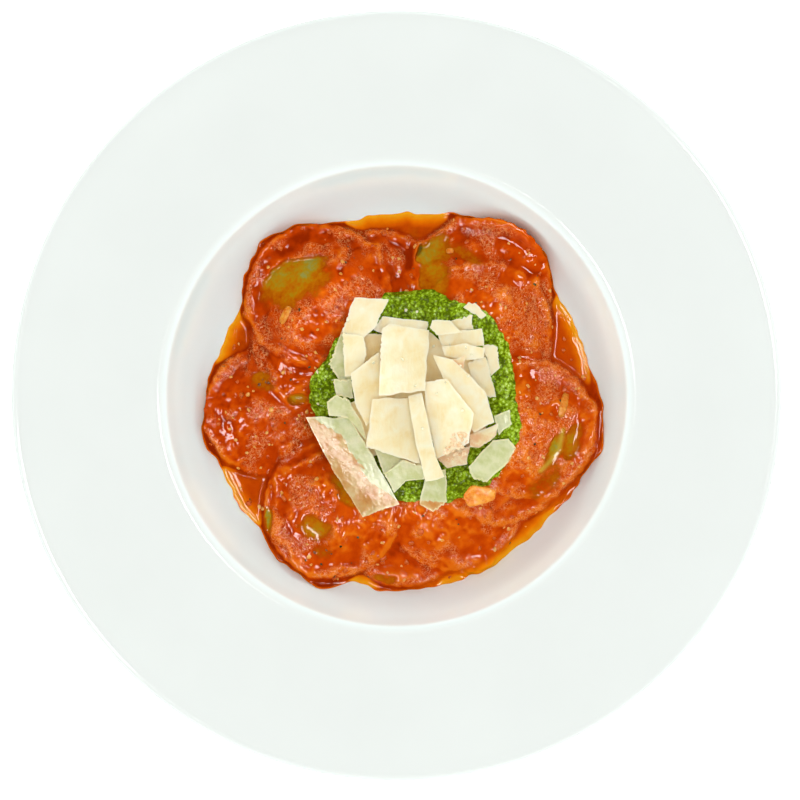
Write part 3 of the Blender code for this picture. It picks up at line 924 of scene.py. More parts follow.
def round_blur(values, count):
    """A closed run of values, blurred over that many steps."""
    kernel = np.exp(-0.5 * (np.arange(-3 * count, 3 * count + 1) / count) ** 2)
    wrapped = np.concatenate((values[-3 * count :], values, values[: 3 * count]))
    return np.convolve(wrapped, kernel / kernel.sum(), mode="valid")


def inward_of(outer, x, y):
    """How far inside a closed border each place lies. The border is its reach in even turns."""
    turns = TAU * np.arange(len(outer) + 1) / len(outer)
    line = np.interp(np.arctan2(y, x) % TAU, turns, np.append(outer, outer[0]))
    return line - np.hypot(x, y)


def edge_rise(away):
    """Height of a wet edge at that distance from its contact line."""
    return np.sqrt(2 * EDGE_ROUND * np.maximum(away, 0))


def tucked(top, base, away):
    """The surface, dipped into what it lies on at its very border, so that no gap shows."""
    return np.where(away < 0.02 * MM, base - 0.3 * MM, top)


class SauceShape:
    """Maps of the sauce over the dish: its height and what it is like at each place."""

    def __init__(self, chosen):
        self.draw = np.random.default_rng(23)
        self.plate = plate_height(np.hypot(MAP_X, MAP_Y))
        pieces = [bpy.data.objects[node + "_pasta"] for node in RAVIOLI]
        self.pasta = heights(tree_of(*pieces), MAP_X, MAP_Y, 0.0)
        self.cover = spread(self.pasta, 1)
        self.pool = POOL_LEVEL + POOL_SLOPE[0] * MAP_X + POOL_SLOPE[1] * MAP_Y
        self.crease = pasta_crease()
        large, medium = self.noise(10), self.noise(5)
        pulp = self.pulp()
        gathered = np.clip(0.3 + 0.8 * self.noise(13), -0.5, 1.2)
        coat = chosen.coat + chosen.lumps * (0.8 * large + 0.5 * medium) + 0.8 * MM * self.collar() * gathered
        self.settle(self.laid(np.maximum(coat, 0.5 * MM)))
        gone = thinness(MAP_X, MAP_Y, 0.3 * self.noise(6) + 0.1 * self.noise(2.4))
        ridges = smooth_step(-0.6 * MM, 0.5 * MM, self.above(3.5))
        rough = (1 - self.calm) * (0.25 + 0.75 * ridges) * (1 - smooth_step(0.2, 0.6, gone))
        self.surface = self.surface + chosen.grain * rough * pulp
        self.wipe(gone)
        self.note_looks(gone, ridges)

    def noise(self, size):
        """Random bumps about that many millimetres across."""
        return noise_field(self.draw, size * MM)

    def above(self, size):
        """How far each place stands over what lies within about that many millimetres."""
        return self.surface - blurred(self.surface, size * MM)

    def pulp(self):
        """The fine relief of cooked tomato: winding folds and creases, and a grain."""
        winding = [line + 0.9 * MM * self.noise(7) for line in (MAP_X, MAP_Y)]
        folds, creases = (1 - np.abs(read_map(self.noise(size), *winding)) for size in (4.6, 2.6))
        return 1.2 * folds + 0.9 * creases + 0.7 * self.noise(1.9) - 1.0

    def laid(self, coat):
        """The sauce as ladled: a coat, slid a little to one side, over the ravioli, and the pool."""
        aside = [(1.7 * self.noise(15) + 0.55 * self.noise(5)) * MM for _ in range(2)]
        moved = read_map(self.pasta, MAP_X + aside[0], MAP_Y + aside[1])
        return np.maximum.reduce([
            spread(np.where(moved > 0, moved + coat, 0), 1),
            spread(np.where(self.pasta > 0, self.pasta + 0.45 * MM, 0), 1),
            np.maximum(self.pool, self.plate + FILM),
            blurred(np.maximum(self.pasta, self.plate), 2.2 * MM) + 0.3 * MM,
        ])

    def settle(self, laid):
        """The sauce rounds off, fills the hollows and lies calm in them and in the pool."""
        inside = 1 - smooth_step(60 * MM, 72 * MM, np.hypot(MAP_X, MAP_Y))
        filled = blurred(laid, 1.3 * MM) - 0.1 * MM
        valleys = blurred(laid, 3.2 * MM) - (0.35 + 0.6 * self.noise(12)) * MM
        soft = blurred(laid, 0.6 * MM)
        surface = np.maximum(soft, np.maximum(filled, valleys * inside))
        hollow = smooth_step(0.1 * MM, 0.9 * MM, surface - soft)
        self.calm = np.maximum(1 - smooth_step(0.3 * MM, 1.6 * MM, surface - self.pool), 0.8 * hollow)
        self.surface = surface + 0.5 * MM * self.crease

    def wipe(self, gone):
        """Takes the sauce off in the thin patches, down to a skin over the pasta."""
        bare = self.pasta + SKIN + 0.9 * MM * (1 - smooth_step(0.3, 0.95, gone))
        off = smooth_step(0.1, 0.8, gone)
        thin = self.surface * (1 - off) + np.minimum(bare, self.surface) * off
        surface = np.where(self.pasta > 0, thin, self.surface)
        self.surface = np.maximum(surface, np.where(self.cover > 0, self.cover + SKIN, 0))

    def note_looks(self, gone, ridges):
        """What the finish reads: painted shade in the hollows and painted light on the ridges, lighter
        towards the lower right; where the sauce is gone; where grain and painted glint lines show.
        """
        # Painted shade and painted light: low where the sauce lies below its surroundings, high where it
        # rises over them, and lighter towards the lower right.
        near, broad = self.above(1.1) / (0.28 * MM), self.above(3.6) / (1.3 * MM)
        lighter = 0.17 * (MAP_X - MAP_Y) / (80 * MM)
        uneven = 0.22 * np.clip(near, -1.2, 2) + 0.2 * np.clip(broad, -1.3, 2)
        self.relief_shade = np.clip(0.5 + uneven + lighter, 0, 1)
        self.gone = np.where(self.pasta > 0, gone, 0.4 * gone)
        # Patches of grain, which also carry painted glint lines, more where the sauce leans towards the lamps
        # on the left and right.
        lean = np.abs(np.gradient(blurred(self.surface, 1.4 * MM), MAP_STEP, axis=0))
        patch = 0.30 + 0.32 * self.noise(8) + 0.8 * np.minimum(lean, 0.6) - 0.25 * (1 - ridges)
        still = np.maximum(self.calm, 0.8 * smooth_step(0.15, 0.55, gone))
        self.grain_and_glint = smooth_step(0.2, 0.8, patch) * (1 - still)

    @staticmethod
    def collar():
        """Where the sauce gathers round the foot of each dome: 1 on a ring over the raviolo's border."""
        ring = np.zeros_like(MAP_X)
        for node in RAVIOLI:
            at, (low, high) = middle_of(node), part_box(node)
            radius = (high[0] - low[0]) / 2
            share = np.hypot(MAP_X - at[0], MAP_Y - at[1]) / radius
            ring = np.where(share < 1, np.exp(-(((share - COLLAR_AT) / COLLAR_WIDTH) ** 2)), ring)
        return ring

    def reach(self, steps):
        """How far out the sauce goes in each direction. Its lip is then laid along that border."""
        turn = TAU * np.arange(steps) / steps
        pooled = outer_reach(lambda x, y: read_map(self.pool - self.plate, x, y) > FILM, steps)
        degrees = np.degrees(turn)
        for at, width, depth in POOL_DENTS:
            pooled -= depth * MM * swell(degrees, at, width)
        pasta_reach = outer_reach(lambda x, y: read_map(self.pasta, x, y) > 1 * MM, steps)
        covered = np.where(pasta_reach > 0, pasta_reach + 1.4 * MM, 0)
        for at, width, more in COAT_BULGES:
            covered += np.where(covered > 0, more * MM * swell(degrees, at, width), 0)
        wobble = 0.35 * MM * round_noise(self.draw, steps, 26) + 0.16 * MM * round_noise(self.draw, steps, 70)
        outer = round_blur(np.maximum(pooled, covered), 5) + wobble
        for at, width, more in EDGE_SHIFTS:
            outer += more * MM * swell(degrees, at, width)
        outer = np.maximum(outer, round_blur(pasta_reach + 0.6 * MM, 2))
        self.add_lip(outer)
        return outer

    def add_lip(self, outer):
        """The pool stands up a little inside its border: thick sauce behind a line of thin oil."""
        away = inward_of(outer, MAP_X, MAP_Y) + 0.8 * MM * self.noise(9)
        pooled = 1 - smooth_step(0.2 * MM, 1.2 * MM, self.surface - self.pool)
        lip = smooth_step(2.0 * MM, 3.2 * MM, away)
        self.surface = np.maximum(self.surface + 0.5 * MM * pooled * (lip - 0.7), self.cover + SKIN)

    def top_at(self, x, y, away):
        """The sauce's top, rounded down towards its border."""
        base = read_map(self.plate, x, y)
        top = read_map(self.surface, x, y)
        limit = base + edge_rise(away) + 3.5 * np.maximum(away - 0.6 * MM, 0)
        over = read_map(self.cover, x, y) + 0.35 * MM
        top = np.minimum(top, np.maximum(limit, over))
        top = np.maximum(top, base + 0.3 * edge_rise(np.minimum(away, 1 * MM)))
        return tucked(top, base, away)

    def oil_at(self, x, y, away):
        """Where oil shows: over the thin film in the pool, along the border, where the orange is partly oil
        and partly painted light against the shade of the steep edge, and broadly on one side.
        """
        pooled = 1 - smooth_step(0.3 * MM, 1.5 * MM, read_map(self.surface - self.pool, x, y))
        film = 1 - smooth_step(0.4 * MM, 1.0 * MM, read_map(self.surface - self.plate, x, y))
        edge = 1 - smooth_step(0.0, 6.5 * MM, away)
        # Along the very border the colour goes orange: partly thin oil, partly painted light that offsets the
        # shade on the steep edge.
        border_oil_and_light = 1 - smooth_step(0.1 * MM, 1.3 * MM, away)
        turn = np.arctan2(y, x) % TAU
        oily = swell(np.degrees(turn), *OIL_SIDE) * (1 - smooth_step(0.5 * MM, 6.5 * MM, away))
        in_pool = np.maximum(pooled, film) * (0.25 + 0.75 * edge)
        return np.clip(np.maximum(np.maximum(in_pool, 0.6 * border_oil_and_light), oily), 0, 1)


class DISH_OT_sauce(bpy.types.Operator):
    """Model the tomato sauce: a coat over the ravioli that runs down into the pool"""

    bl_idname = "dish.sauce"
    bl_label = "Sauce"

    def execute(self, context):
        chosen = settings("dish_sauce")
        shape = SauceShape(chosen)
        outer = shape.reach(chosen.steps)
        inner = np.full(chosen.steps, SAUCE_START)
        shares = ring_shares(chosen.rings, width=2.2 * MM, span=55 * MM)
        sauce = blanket(
            "tomato_sauce_coat", (0, 0), inner, outer, shares, shape.top_at,
            lambda x, y: plate_height(np.hypot(x, y)) - 0.1 * MM,
        )
        x, y, _ = points_of(sauce.data).T
        away = inward_of(outer, x, y)
        grain_and_glint = read_map(shape.grain_and_glint, x, y) * smooth_step(1.5 * MM, 4.0 * MM, away)
        set_attribute(sauce.data, "gone", read_map(shape.gone, x, y))
        set_attribute(sauce.data, "relief_shade", read_map(shape.relief_shade, x, y))
        set_attribute(sauce.data, "grain_and_glint", grain_and_glint)
        set_attribute(sauce.data, "crease", 0.8 * read_map(shape.crease, x, y))
        set_attribute(sauce.data, "pool", shape.oil_at(x, y, away))
        shade_smooth(sauce)
        finish_piece(sauce, sauce_finish(), "tomato_sauce", "sauce")
        return {"FINISHED"}


class DISH_OT_pesto(bpy.types.Operator):
    """Model the pesto: a lumpy paste with loose grains of basil"""

    bl_idname = "dish.pesto"
    bl_label = "Pesto"

    def execute(self, context):
        chosen = settings("dish_pesto")
        draw = np.random.default_rng(37)
        at = middle_of("pesto")
        solid = heights(tree_of(frame["nodes"]["pesto"]), MAP_X, MAP_Y, 0.0)
        sauce = heights(tree_of(bpy.data.objects["tomato_sauce_coat"]), MAP_X, MAP_Y, 0.0)

        def covered(x, y):
            return read_map(solid, x, y) > 5 * MM

        outer = round_blur(outer_reach(covered, PESTO_STEPS, at[:2], low=25 * MM, high=60 * MM), 3)
        coarse, fine = (round_noise(draw, PESTO_STEPS, waves) for waves in (14, 60))
        outer += 0.45 * MM * coarse + 0.2 * MM * fine
        known = np.where(solid > 0, solid, sauce + 1.0 * MM)
        level = blurred(np.maximum(known, sauce + 0.6 * MM), 1.2 * MM)
        lumps = chosen.lumps * (0.6 * noise_field(draw, 6 * MM) + 0.65 * noise_field(draw, 3 * MM))
        lumps += 0.3 * chosen.lumps * noise_field(draw, 1.4 * MM)

        def top_at(x, y, away):
            base = read_map(sauce, x, y)
            top = read_map(level + lumps, x, y)
            top = np.minimum(top, base + edge_rise(away) + 0.2 * MM + 1.4 * np.maximum(away - 1 * MM, 0))
            return tucked(np.maximum(top, base + 0.25 * MM), base, away)

        inner = np.full(PESTO_STEPS, 0.0)
        shares = ring_shares(PESTO_RINGS, width=2.0 * MM, span=42 * MM)
        pesto = blanket(
            "basil_pesto_heap", at[:2], inner, outer, shares, top_at,
            lambda x, y: read_map(np.where(sauce > 0, sauce, level), x, y) - 0.9 * MM,
        )
        shade_smooth(pesto)
        finish_piece(pesto, pesto_finish(tuple(chosen.green)), "basil_pesto", "pesto")
        tree = tree_of(pesto)
        spots = scattered(draw, chosen.grains, at[:2], 50 * MM, tree)
        grains = bits("basil_grains", draw, spots, (0.35, 0.95), flat=0.45, rounds=1)
        finish_piece(grains, pesto_finish(tuple(chosen.green), "basil_leaf_grains", 1.1), "basil_pesto")
        return {"FINISHED"}


# ---------------------------------------------------------------- small bits


def scattered(draw, count, middle, reach, tree, avoid=None, keep=None):
    """Places on a surface: for each its point and its surface normal."""
    found = []
    for _ in range(40 * count):
        if len(found) == count:
            break
        out, turn = reach * math.sqrt(draw.uniform()), draw.uniform(0, TAU)
        x, y = middle[0] + out * math.cos(turn), middle[1] + out * math.sin(turn)
        start = Vector((x, y, RAY_START))
        hit, normal, _, _ = tree.ray_cast(start, DOWN, RAY_LENGTH)
        if hit is None or (keep is not None and not keep(x, y)):
            continue
        if avoid is not None:
            over = avoid.ray_cast(start, DOWN, RAY_LENGTH)[0]
            if over is not None and over.z > hit.z:
                continue
        found.append((hit, normal))
    return found


def ball_template(rounds):
    """Points and faces of a small ball, made once and copied."""
    deselect_all()
    bpy.ops.mesh.primitive_ico_sphere_add(subdivisions=rounds, radius=1.0, location=(0, 0, 0))
    obj = bpy.context.active_object
    points = points_of(obj.data)
    faces = np.array([list(face.vertices) for face in obj.data.polygons])
    bpy.data.objects.remove(obj, do_unlink=True)
    return points, faces


def bits(name, draw, spots, sizes, flat, rounds, sink=0.25, uneven=0.28, long=1.5):
    """One mesh of many small uneven bits that lie on a surface. Sizes are the span in millimetres."""
    template, template_faces = ball_template(rounds)
    points, faces = [], []
    for hit, normal in spots:
        size = 0.5 * MM * draw.uniform(*sizes)
        shape = template * (1 + uneven * draw.standard_normal((len(template), 1)))
        shape = shape * np.array([long ** draw.uniform(-1, 1), 1.0, flat]) * size
        side = Vector((math.cos(draw.uniform(0, TAU)), math.sin(draw.uniform(0, TAU)), 0))
        up = (normal + 0.25 * Vector(draw.standard_normal(3))).normalized()
        across = up.cross(side).normalized()
        side = across.cross(up)
        turned = shape @ np.array((side, across, up))
        faces.append(template_faces + len(template) * len(points))
        points.append(turned + np.array(hit + normal * size * flat * (1 - 2 * sink)))
    made = new_object(name, np.concatenate(points), np.concatenate(faces).tolist())
    shade_smooth(made)
    return made


# ---------------------------------------------------------------- cheese

# What the shavings are like, by number: the lowest lie low in the heap and get a brighter, warmer cream as
# painted light against the shade there, and the rest are dry.
LOWEST_SHAVINGS = range(1, 8)
WET_SHAVINGS = (10, 11, 12, 13, 14, 15, 16, 17, 18)
PEACH_SHAVINGS = (6, 19, 20, 27)
STRAIGHT_SHAVINGS = (13, 31, 32, 33, 34)
# The rings of points in a flake, as shares of the way from its middle to its border.
FLAKE_RINGS = np.array([0.12, 0.28, 0.44, 0.58, 0.7, 0.8, 0.88, 0.94, 0.98, 1.0])


def plan_outline(obj):
    """The corners of a flat solid seen from above, in order round its middle."""
    points = points_of(obj.data)
    edges = {}
    for face in obj.data.polygons:
        if face.normal.z > 0.3:
            loop = list(face.vertices)
            for here, after in zip(loop, loop[1:] + loop[:1]):
                edges.setdefault(here, []).append(after)
    backwards = {(b, a) for a, after in edges.items() for b in after}
    border = {a: b for a, after in edges.items() for b in after if (a, b) not in backwards}
    start = next(iter(border))
    loop, here = [start], border[start]
    while here != start:
        loop.append(here)
        here = border[here]
    return points[loop]


def torn_border(draw, corners, middle, ragged, roughest):
    """A shaving's outline from above, in short steps that wander and are nicked, and its reach."""
    around, parts = [], []
    for here, after in zip(corners, np.roll(corners, -1, axis=0)):
        count = max(2, int(np.hypot(*(after - here)[:2]) / (0.45 * MM)))
        around.append(here + (after - here) * np.arange(count)[:, None] / count)
        parts.append(count)
    outwards = np.concatenate(around)[:, :2] - middle
    count = len(outwards)
    torn = np.repeat(draw.choice([0.2, 0.3, 0.5, roughest], len(parts)), parts)
    torn = np.convolve(np.concatenate((torn[-2:], torn, torn[:2])), np.full(5, 0.2), mode="valid")
    coarse, fine = (round_noise(draw, count, waves) for waves in (max(4, count // 20), max(6, count // 4)))
    nick = np.clip(round_noise(draw, count, max(3, count // 7)) - 1.2, 0, 1.5) * 2.0 * ragged * torn
    span = np.hypot(*outwards.T)
    wander = ragged * (coarse + torn * fine) - nick
    return middle + outwards + outwards / span[:, None] * wander[:, None], span


def curve_terms(plan, middle):
    """The terms of a slightly curved surface at each place, in centimetres from its middle."""
    u, v = ((plan - middle) / (10 * MM)).T
    return np.stack((np.ones(len(u)), u, v, u * u, u * v, v * v), 1)


def curve_through(corners, middle):
    """The weights of those terms for the corners' heights, as flat as the corners allow."""
    terms = np.vstack((curve_terms(corners[:, :2], middle), 0.35 * np.eye(6)[3:]))
    return np.linalg.lstsq(terms, np.append(corners[:, 2], np.zeros(3)), rcond=None)[0]


class DISH_OT_cheese(bpy.types.Operator):
    """Model the cheese shavings: thin flakes with ragged edges"""

    bl_idname = "dish.cheese"
    bl_label = "Cheese"

    def execute(self, context):
        chosen = settings("dish_cheese")
        cream = tuple(chosen.cream)
        kinds = {
            "dry": cheese_finish("hard_cheese_dry", cream),
            # Painted light: the lowest shavings get a brighter, warmer cream than the others, to offset the
            # shade they lie in.
            "low": cheese_finish("hard_cheese_low_painted_light", (1.0, 0.78, 0.42), depth=0.1),
            "wet": cheese_finish("hard_cheese_wet", cream, wet=True),
            "peach": cheese_finish("hard_cheese_stained", cream, stain=(0.84, 0.42, 0.20)),
        }
        pesto = tree_of(bpy.data.objects["basil_pesto_heap"])
        sauce = tree_of(bpy.data.objects["tomato_sauce_coat"])
        for number, node in enumerate(SHAVINGS, 1):
            flake = shaving(node, number, chosen, (pesto, sauce))
            kind = "low" if number in LOWEST_SHAVINGS else "dry"
            kind = "wet" if number in WET_SHAVINGS else "peach" if number in PEACH_SHAVINGS else kind
            if kind == "wet":
                x, y, _ = points_of(flake.data).T
                over = heights(pesto, x, y) > heights(sauce, x, y)
                set_attribute(flake.data, "over", over.astype(float))
            finish_piece(flake, kinds[kind], "hard_cheese", node)
        return {"FINISHED"}


def shaving(node, number, chosen, grounds):
    """One flake: rings from its middle to a ragged border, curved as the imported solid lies."""
    draw = np.random.default_rng(500 + number)
    solid = merged_copy(node, node + "_start")
    corners = plan_outline(solid)
    bpy.data.objects.remove(solid, do_unlink=True)
    middle = corners[:, :2].mean(0)
    roughest = 0.2 if number in STRAIGHT_SHAVINGS else 1.5
    border, span = torn_border(draw, corners, middle, chosen.ragged, roughest)
    count, rings = len(border), len(FLAKE_RINGS)
    plan = [middle[None, :]] + [middle + (border - middle) * share for share in FLAKE_RINGS]
    plan = np.concatenate(plan)
    inward = np.concatenate(([1.0], np.repeat((1 - FLAKE_RINGS), count) * np.tile(span, rings) / MM))
    top = curve_terms(plan, middle) @ curve_through(corners, middle)
    bend, ripple = draw.uniform(0, TAU), draw.uniform(0.1, 0.28) * MM
    u, v = ((plan - middle) / (10 * MM)).T
    top = top + ripple * np.sin(3.2 * (u * math.cos(bend) + v * math.sin(bend)) + draw.uniform(0, TAU))
    thick = chosen.thickness * (0.35 + 0.65 * smooth_step(0.0, 2.5, inward))
    for ground in grounds:
        top = np.maximum(top, heights(ground, *plan.T) + 0.35 * MM)
    total = len(plan)
    points = np.concatenate((np.column_stack((plan, top)), np.column_stack((plan, top - thick))))
    faces = [(0, 1 + a, 1 + (a + 1) % count) for a in range(count)]
    for ring in range(rings - 1):
        faces += ring_faces(1 + ring * count, 1 + (ring + 1) * count, count)
    under = [tuple(total + v for v in reversed(face)) for face in faces]
    last = 1 + (rings - 1) * count
    wall = ring_faces(last, total + last, count)
    flake = new_object(node.replace("cheese_shaving", "cheese_flake"), points, faces + under + wall)
    set_attribute(flake.data, "rim", np.tile(1 - smooth_step(0.1, 1.1, inward), 2))
    shade_smooth(flake, 50)
    return flake


# ---------------------------------------------------------------- tomato and trimmings


# Strips of stewed tomato on the sauce: right, up, length, width in millimetres and turn in degrees.
TOMATO_STRIPS = [(-44.5, 32.3, 7.4, 3.0, 62), (67.2, -3.7, 9.8, 3.1, 74), (21.5, 58.6, 2.8, 2.2, 0)]
STRIP_THICKNESS = 1.5
# Where herbs lie close together and where stained crumbs do: right, up and reach in millimetres.
HERB_CLUSTERS = [(-29.5, -63.2, 3.6), (-54.5, 6.0, 3.6)]
STAINED_CORNER = (27, -22, 8)
# Bits in the sauce keep that far inside its border.
BORDER_MARGIN = 2.5 * MM
# How far from the middle bits are strewn over the sauce and over the heap.
SAUCE_REACH, HEAP_REACH = 79 * MM, 36 * MM


def within(x, y, right, up, reach):
    """Whether a place lies in a circle that is given in millimetres."""
    return math.hypot(x - right * MM, y - up * MM) < reach * MM


def tomato_chunk(draw):
    """The large piece of stewed tomato, rounded off and a little uneven."""
    chunk = merged_copy("tomato_piece", "tomato_chunk")
    subdivided(chunk, 3)
    points = points_of(chunk.data)
    points[:, 2] += 0.35 * MM * read_map(noise_field(draw, 3 * MM), points[:, 0], points[:, 1])
    set_points(chunk.data, points)
    shade_smooth(chunk)
    return chunk


def tomato_strip(name, draw, at, size, turn, tree):
    """A soft block of tomato flesh that lies on the sauce."""
    template, faces = ball_template(4)
    block = np.sign(template) * np.abs(template) ** 0.6
    block *= 1 + 0.05 * draw.standard_normal((len(block), 1))
    block = block * np.array(size) * MM / 2
    angle = math.radians(turn)
    x = at[0] * MM + block[:, 0] * math.cos(angle) - block[:, 1] * math.sin(angle)
    y = at[1] * MM + block[:, 0] * math.sin(angle) + block[:, 1] * math.cos(angle)
    made = new_object(name, np.column_stack((x, y, heights(tree, x, y) + block[:, 2])), faces.tolist())
    shade_smooth(made)
    return made


class DISH_OT_trimmings(bpy.types.Operator):
    """Model the tomato pieces, seeds, pulp, herbs and crumbs"""

    bl_idname = "dish.trimmings"
    bl_label = "Trimmings"

    def execute(self, context):
        chosen = settings("dish_trimmings")
        draw = np.random.default_rng(71)
        stewed = bit_finish("stewed_tomato_flesh", (0.82, 0.19, 0.012), (0.96, 0.42, 0.05), 2.2)
        finish_piece(tomato_chunk(draw), stewed, "stewed_tomato", "tomato_piece")
        sauce = bpy.data.objects["tomato_sauce_coat"]
        above = [bpy.data.objects["basil_pesto_heap"]]
        above += [bpy.data.objects[n.replace("cheese_shaving", "cheese_flake")] for n in SHAVINGS]
        cover, ground = tree_of(*above), tree_of(sauce)

        for number, (right, up, long, wide, turn) in enumerate(TOMATO_STRIPS, 1):
            size = (long, wide, STRIP_THICKNESS)
            strip = tomato_strip(f"tomato_strip_{number}", draw, (right, up), size, turn, ground)
            finish_piece(strip, stewed, "stewed_tomato")

        bare = thinness(MAP_X, MAP_Y)

        def on_sauce(x, y):
            further = 1 + BORDER_MARGIN / math.hypot(x, y)
            beyond = ground.ray_cast(Vector((further * x, further * y, RAY_START)), DOWN, RAY_LENGTH)[0]
            return beyond is not None and read_map(bare, x, y) < 0.25

        def in_cluster(x, y):
            return any(within(x, y, *cluster) for cluster in HERB_CLUSTERS)

        def by_stain(x, y):
            return within(x, y, *STAINED_CORNER)

        # Name and count; least and largest span in millimetres, flatness and how deep they sink; darkest and
        # lightest colour; where they lie.
        kinds = (
            (
                "tomato_pulp_bits", chosen.pulp, (0.9, 2.4), 0.5, 0.52,
                (0.60, 0.06, 0.002), (0.80, 0.17, 0.012), on_sauce, ground,
            ),
            (
                "tomato_seeds", chosen.seeds, (0.8, 1.6), 0.45, 0.3,
                (0.88, 0.30, 0.03), (0.97, 0.54, 0.14), on_sauce, ground,
            ),
            (
                "herb_flecks", chosen.herbs, (0.5, 1.3), 0.3, 0.35,
                (0.05, 0.03, 0.006), (0.12, 0.09, 0.012), on_sauce, ground,
            ),
            (
                "herb_clusters", 50, (0.6, 1.4), 0.4, 0.35,
                (0.16, 0.05, 0.02), (0.36, 0.16, 0.07), in_cluster, ground,
            ),
            (
                "cheese_crumbs", chosen.crumbs, (0.5, 1.5), 0.5, 0.2,
                (0.95, 0.84, 0.55), (0.97, 0.9, 0.68), None, cover,
            ),
            (
                "stained_crumbs", 30, (1.0, 3.0), 0.3, 0.2,
                (0.86, 0.50, 0.24), (0.97, 0.80, 0.52), by_stain, cover,
            ),
        )
        for name, count, sizes, flat, sink, dark, light, keep, tree in kinds:
            reach, avoid = (SAUCE_REACH, cover) if tree is ground else (HEAP_REACH, None)
            spots = scattered(draw, count, (0, 0), reach, tree, avoid, keep)
            shards = name == "stained_crumbs"
            rounds, uneven = (1, 0.3) if shards else (2, 0.2)
            piece = bits(name, draw, spots, sizes, flat, rounds, sink, uneven)
            if shards:
                shade_smooth(piece, 30)
            slot = "hard_cheese" if tree is cover else "tomato_sauce"
            finish_piece(piece, bit_finish(name + "_finish", dark, light, 1.2), slot)
        return {"FINISHED"}


# ---------------------------------------------------------------- the stage

# How far the camera stands beside the plate's middle, right and up.
CAMERA_ASIDE = (1.36 * MM, -1.67 * MM)
# The sky's colours from straight below over the skyline to straight above.
SKY_STOPS = (
    (0.0, (2.7, 3.1, 3.05)),
    (0.3, (2.5, 2.85, 2.8)),
    (0.46, (0.64, 0.64, 0.62)),
    (1.0, (0.52, 0.5, 0.5)),
)


def add_light(name, place, target, size, power, seen_in):
    """A soft box. The fill shows only in matt surfaces, the strips only in gloss."""
    deselect_all()
    bpy.ops.object.light_add(type="AREA", location=place)
    lamp = bpy.context.active_object
    lamp.name = lamp.data.name = name
    lamp.data.shape = "RECTANGLE"
    lamp.data.size, lamp.data.size_y = size
    lamp.data.energy = power
    lamp.rotation_euler = (Vector(target) - Vector(place)).to_track_quat("-Z", "Y").to_euler()
    lamp.visible_glossy = seen_in == "gloss"
    lamp.visible_diffuse = seen_in == "diffuse"


def polar(azimuth, zenith, distance, target):
    """A place seen from the target in that direction, in degrees, and at that distance."""
    turn, tilt = math.radians(azimuth), math.radians(zenith)
    way = Vector((math.sin(tilt) * math.cos(turn), math.sin(tilt) * math.sin(turn), math.cos(tilt)))
    return Vector(target) + distance * way


def add_floor():
    """A plain pale floor that doesn't show in the wet sauce."""
    deselect_all()
    bpy.ops.mesh.primitive_plane_add(size=6.0, location=(0, 0, 0))
    floor = bpy.context.active_object
    floor.name = floor.data.name = "floor"
    white = Finish("floor_white", Roughness=0.9, Specular_IOR_Level=0.0)
    white.shader.inputs["Base Color"].default_value = (0.9, 0.9, 0.9, 1)
    white.shader.inputs["Emission Color"].default_value = (1, 1, 1, 1)
    white.shader.inputs["Emission Strength"].default_value = 0.35
    floor.data.materials.append(white.material)
    floor.visible_glossy = False


def add_lights(aim):
    """A broad fill from above, and on two sides a soft box and a narrow strip."""
    add_light("fill", (0.08, -0.16, 1.35), aim, (1.4, 1.4), 7.2, seen_in="diffuse")
    for azimuth in (205, 22):
        for name, zenith, distance, size, power in (
            ("soft", 36, 1.2, (0.5, 0.26), 8.0), ("near", 27, 1.19, (0.9, 0.03), 2.6)
        ):
            place = polar(azimuth, zenith, distance, aim)
            add_light(f"{name}_{azimuth}", place, aim, size, power, seen_in="gloss")


def studio_sky():
    """Soft light from all round, brighter from below the skyline, that gloss doesn't show."""
    world = bpy.data.worlds.new("studio")
    world.use_nodes = True
    nodes, links = world.node_tree.nodes, world.node_tree.links
    way, split, sky = (nodes.new("ShaderNode" + kind) for kind in ("TexCoord", "SeparateXYZ", "ValToRGB"))
    set_stops(sky.color_ramp, SKY_STOPS)
    links.new(way.outputs["Generated"], split.inputs["Vector"])
    links.new(split.outputs["Z"], sky.inputs["Fac"])
    links.new(sky.outputs["Color"], nodes["Background"].inputs["Color"])
    world.cycles_visibility.glossy = False
    return world


def add_camera(place, lens):
    """A camera that looks straight down."""
    bpy.ops.object.camera_add(location=place, rotation=(0, 0, 0))
    camera = bpy.context.active_object
    camera.name = camera.data.name = "camera"
    camera.data.lens = lens
    camera.data.sensor_width = 36
    camera.data.clip_start = 0.01
    return camera


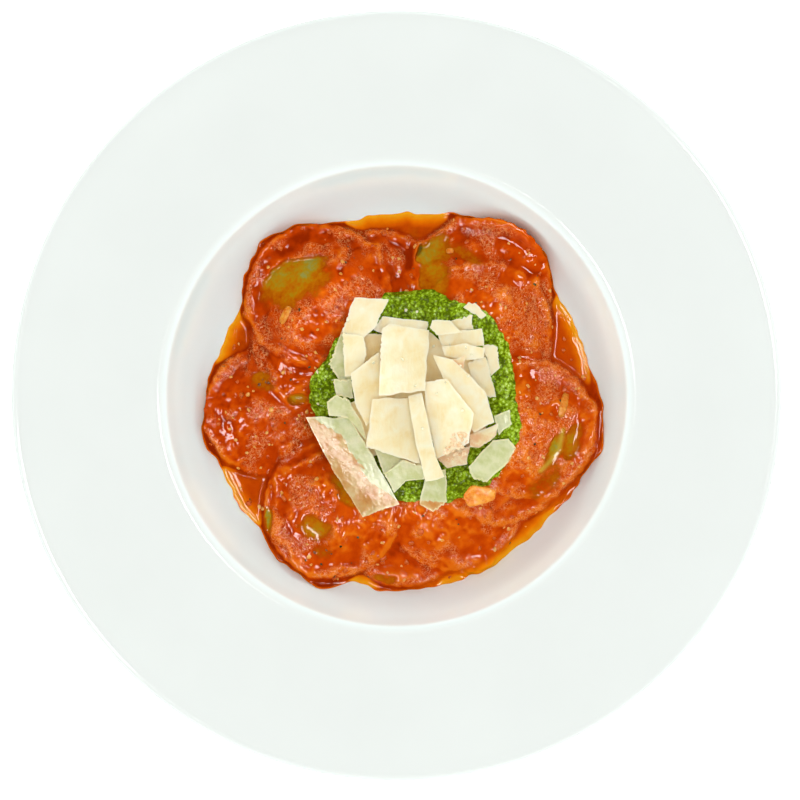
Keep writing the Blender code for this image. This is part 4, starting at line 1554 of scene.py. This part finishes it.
class DISH_OT_stage(bpy.types.Operator):
    """Set the floor, the lights and the camera"""

    bl_idname = "dish.stage"
    bl_label = "Stage"

    def execute(self, context):
        chosen = settings("dish_stage")
        rim = CAD_BOX[1][2]
        add_floor()
        add_lights((0, 0, rim))
        context.scene.world = studio_sky()
        place = (*CAMERA_ASIDE, rim + chosen.distance)
        context.scene.camera = add_camera(place, chosen.lens)
        context.scene.view_settings.view_transform = "Standard"
        return {"FINISHED"}


# ---------------------------------------------------------------- add-on


class DISH_PT_panel(bpy.types.Panel):
    """The pieces of the dish and their settings"""

    bl_idname = "DISH_PT_panel"
    bl_label = "Ravioli Plate"
    bl_space_type = "VIEW_3D"
    bl_region_type = "UI"
    bl_category = "Ravioli Plate"

    def draw(self, context):
        for operator, group, _ in STEPS:
            box = self.layout.box()
            shown = getattr(context.scene, group)
            for name in shown.bl_rna.properties.keys():
                if name not in ("rna_type", "name"):
                    box.prop(shown, name)
            box.operator(operator.bl_idname)


# The pieces in the order in which they are laid: each with its settings' name in the scene and their group.
STEPS = (
    (DISH_OT_plate, "dish_plate", PlateSettings),
    (DISH_OT_ravioli, "dish_ravioli", RavioliSettings),
    (DISH_OT_sauce, "dish_sauce", SauceSettings),
    (DISH_OT_pesto, "dish_pesto", PestoSettings),
    (DISH_OT_cheese, "dish_cheese", CheeseSettings),
    (DISH_OT_trimmings, "dish_trimmings", TrimmingSettings),
    (DISH_OT_stage, "dish_stage", StageSettings),
)


def register():
    for operator, name, group in STEPS:
        bpy.utils.register_class(group)
        setattr(bpy.types.Scene, name, bpy.props.PointerProperty(type=group))
        bpy.utils.register_class(operator)
    bpy.utils.register_class(DISH_PT_panel)


def unregister():
    bpy.utils.unregister_class(DISH_PT_panel)
    for operator, name, group in reversed(STEPS):
        bpy.utils.unregister_class(operator)
        delattr(bpy.types.Scene, name)
        bpy.utils.unregister_class(group)


def main():
    register()
    for operator, _, _ in STEPS:
        area, name = operator.bl_idname.split(".")
        getattr(getattr(bpy.ops, area), name)()


if __name__ == "__main__":
    main()
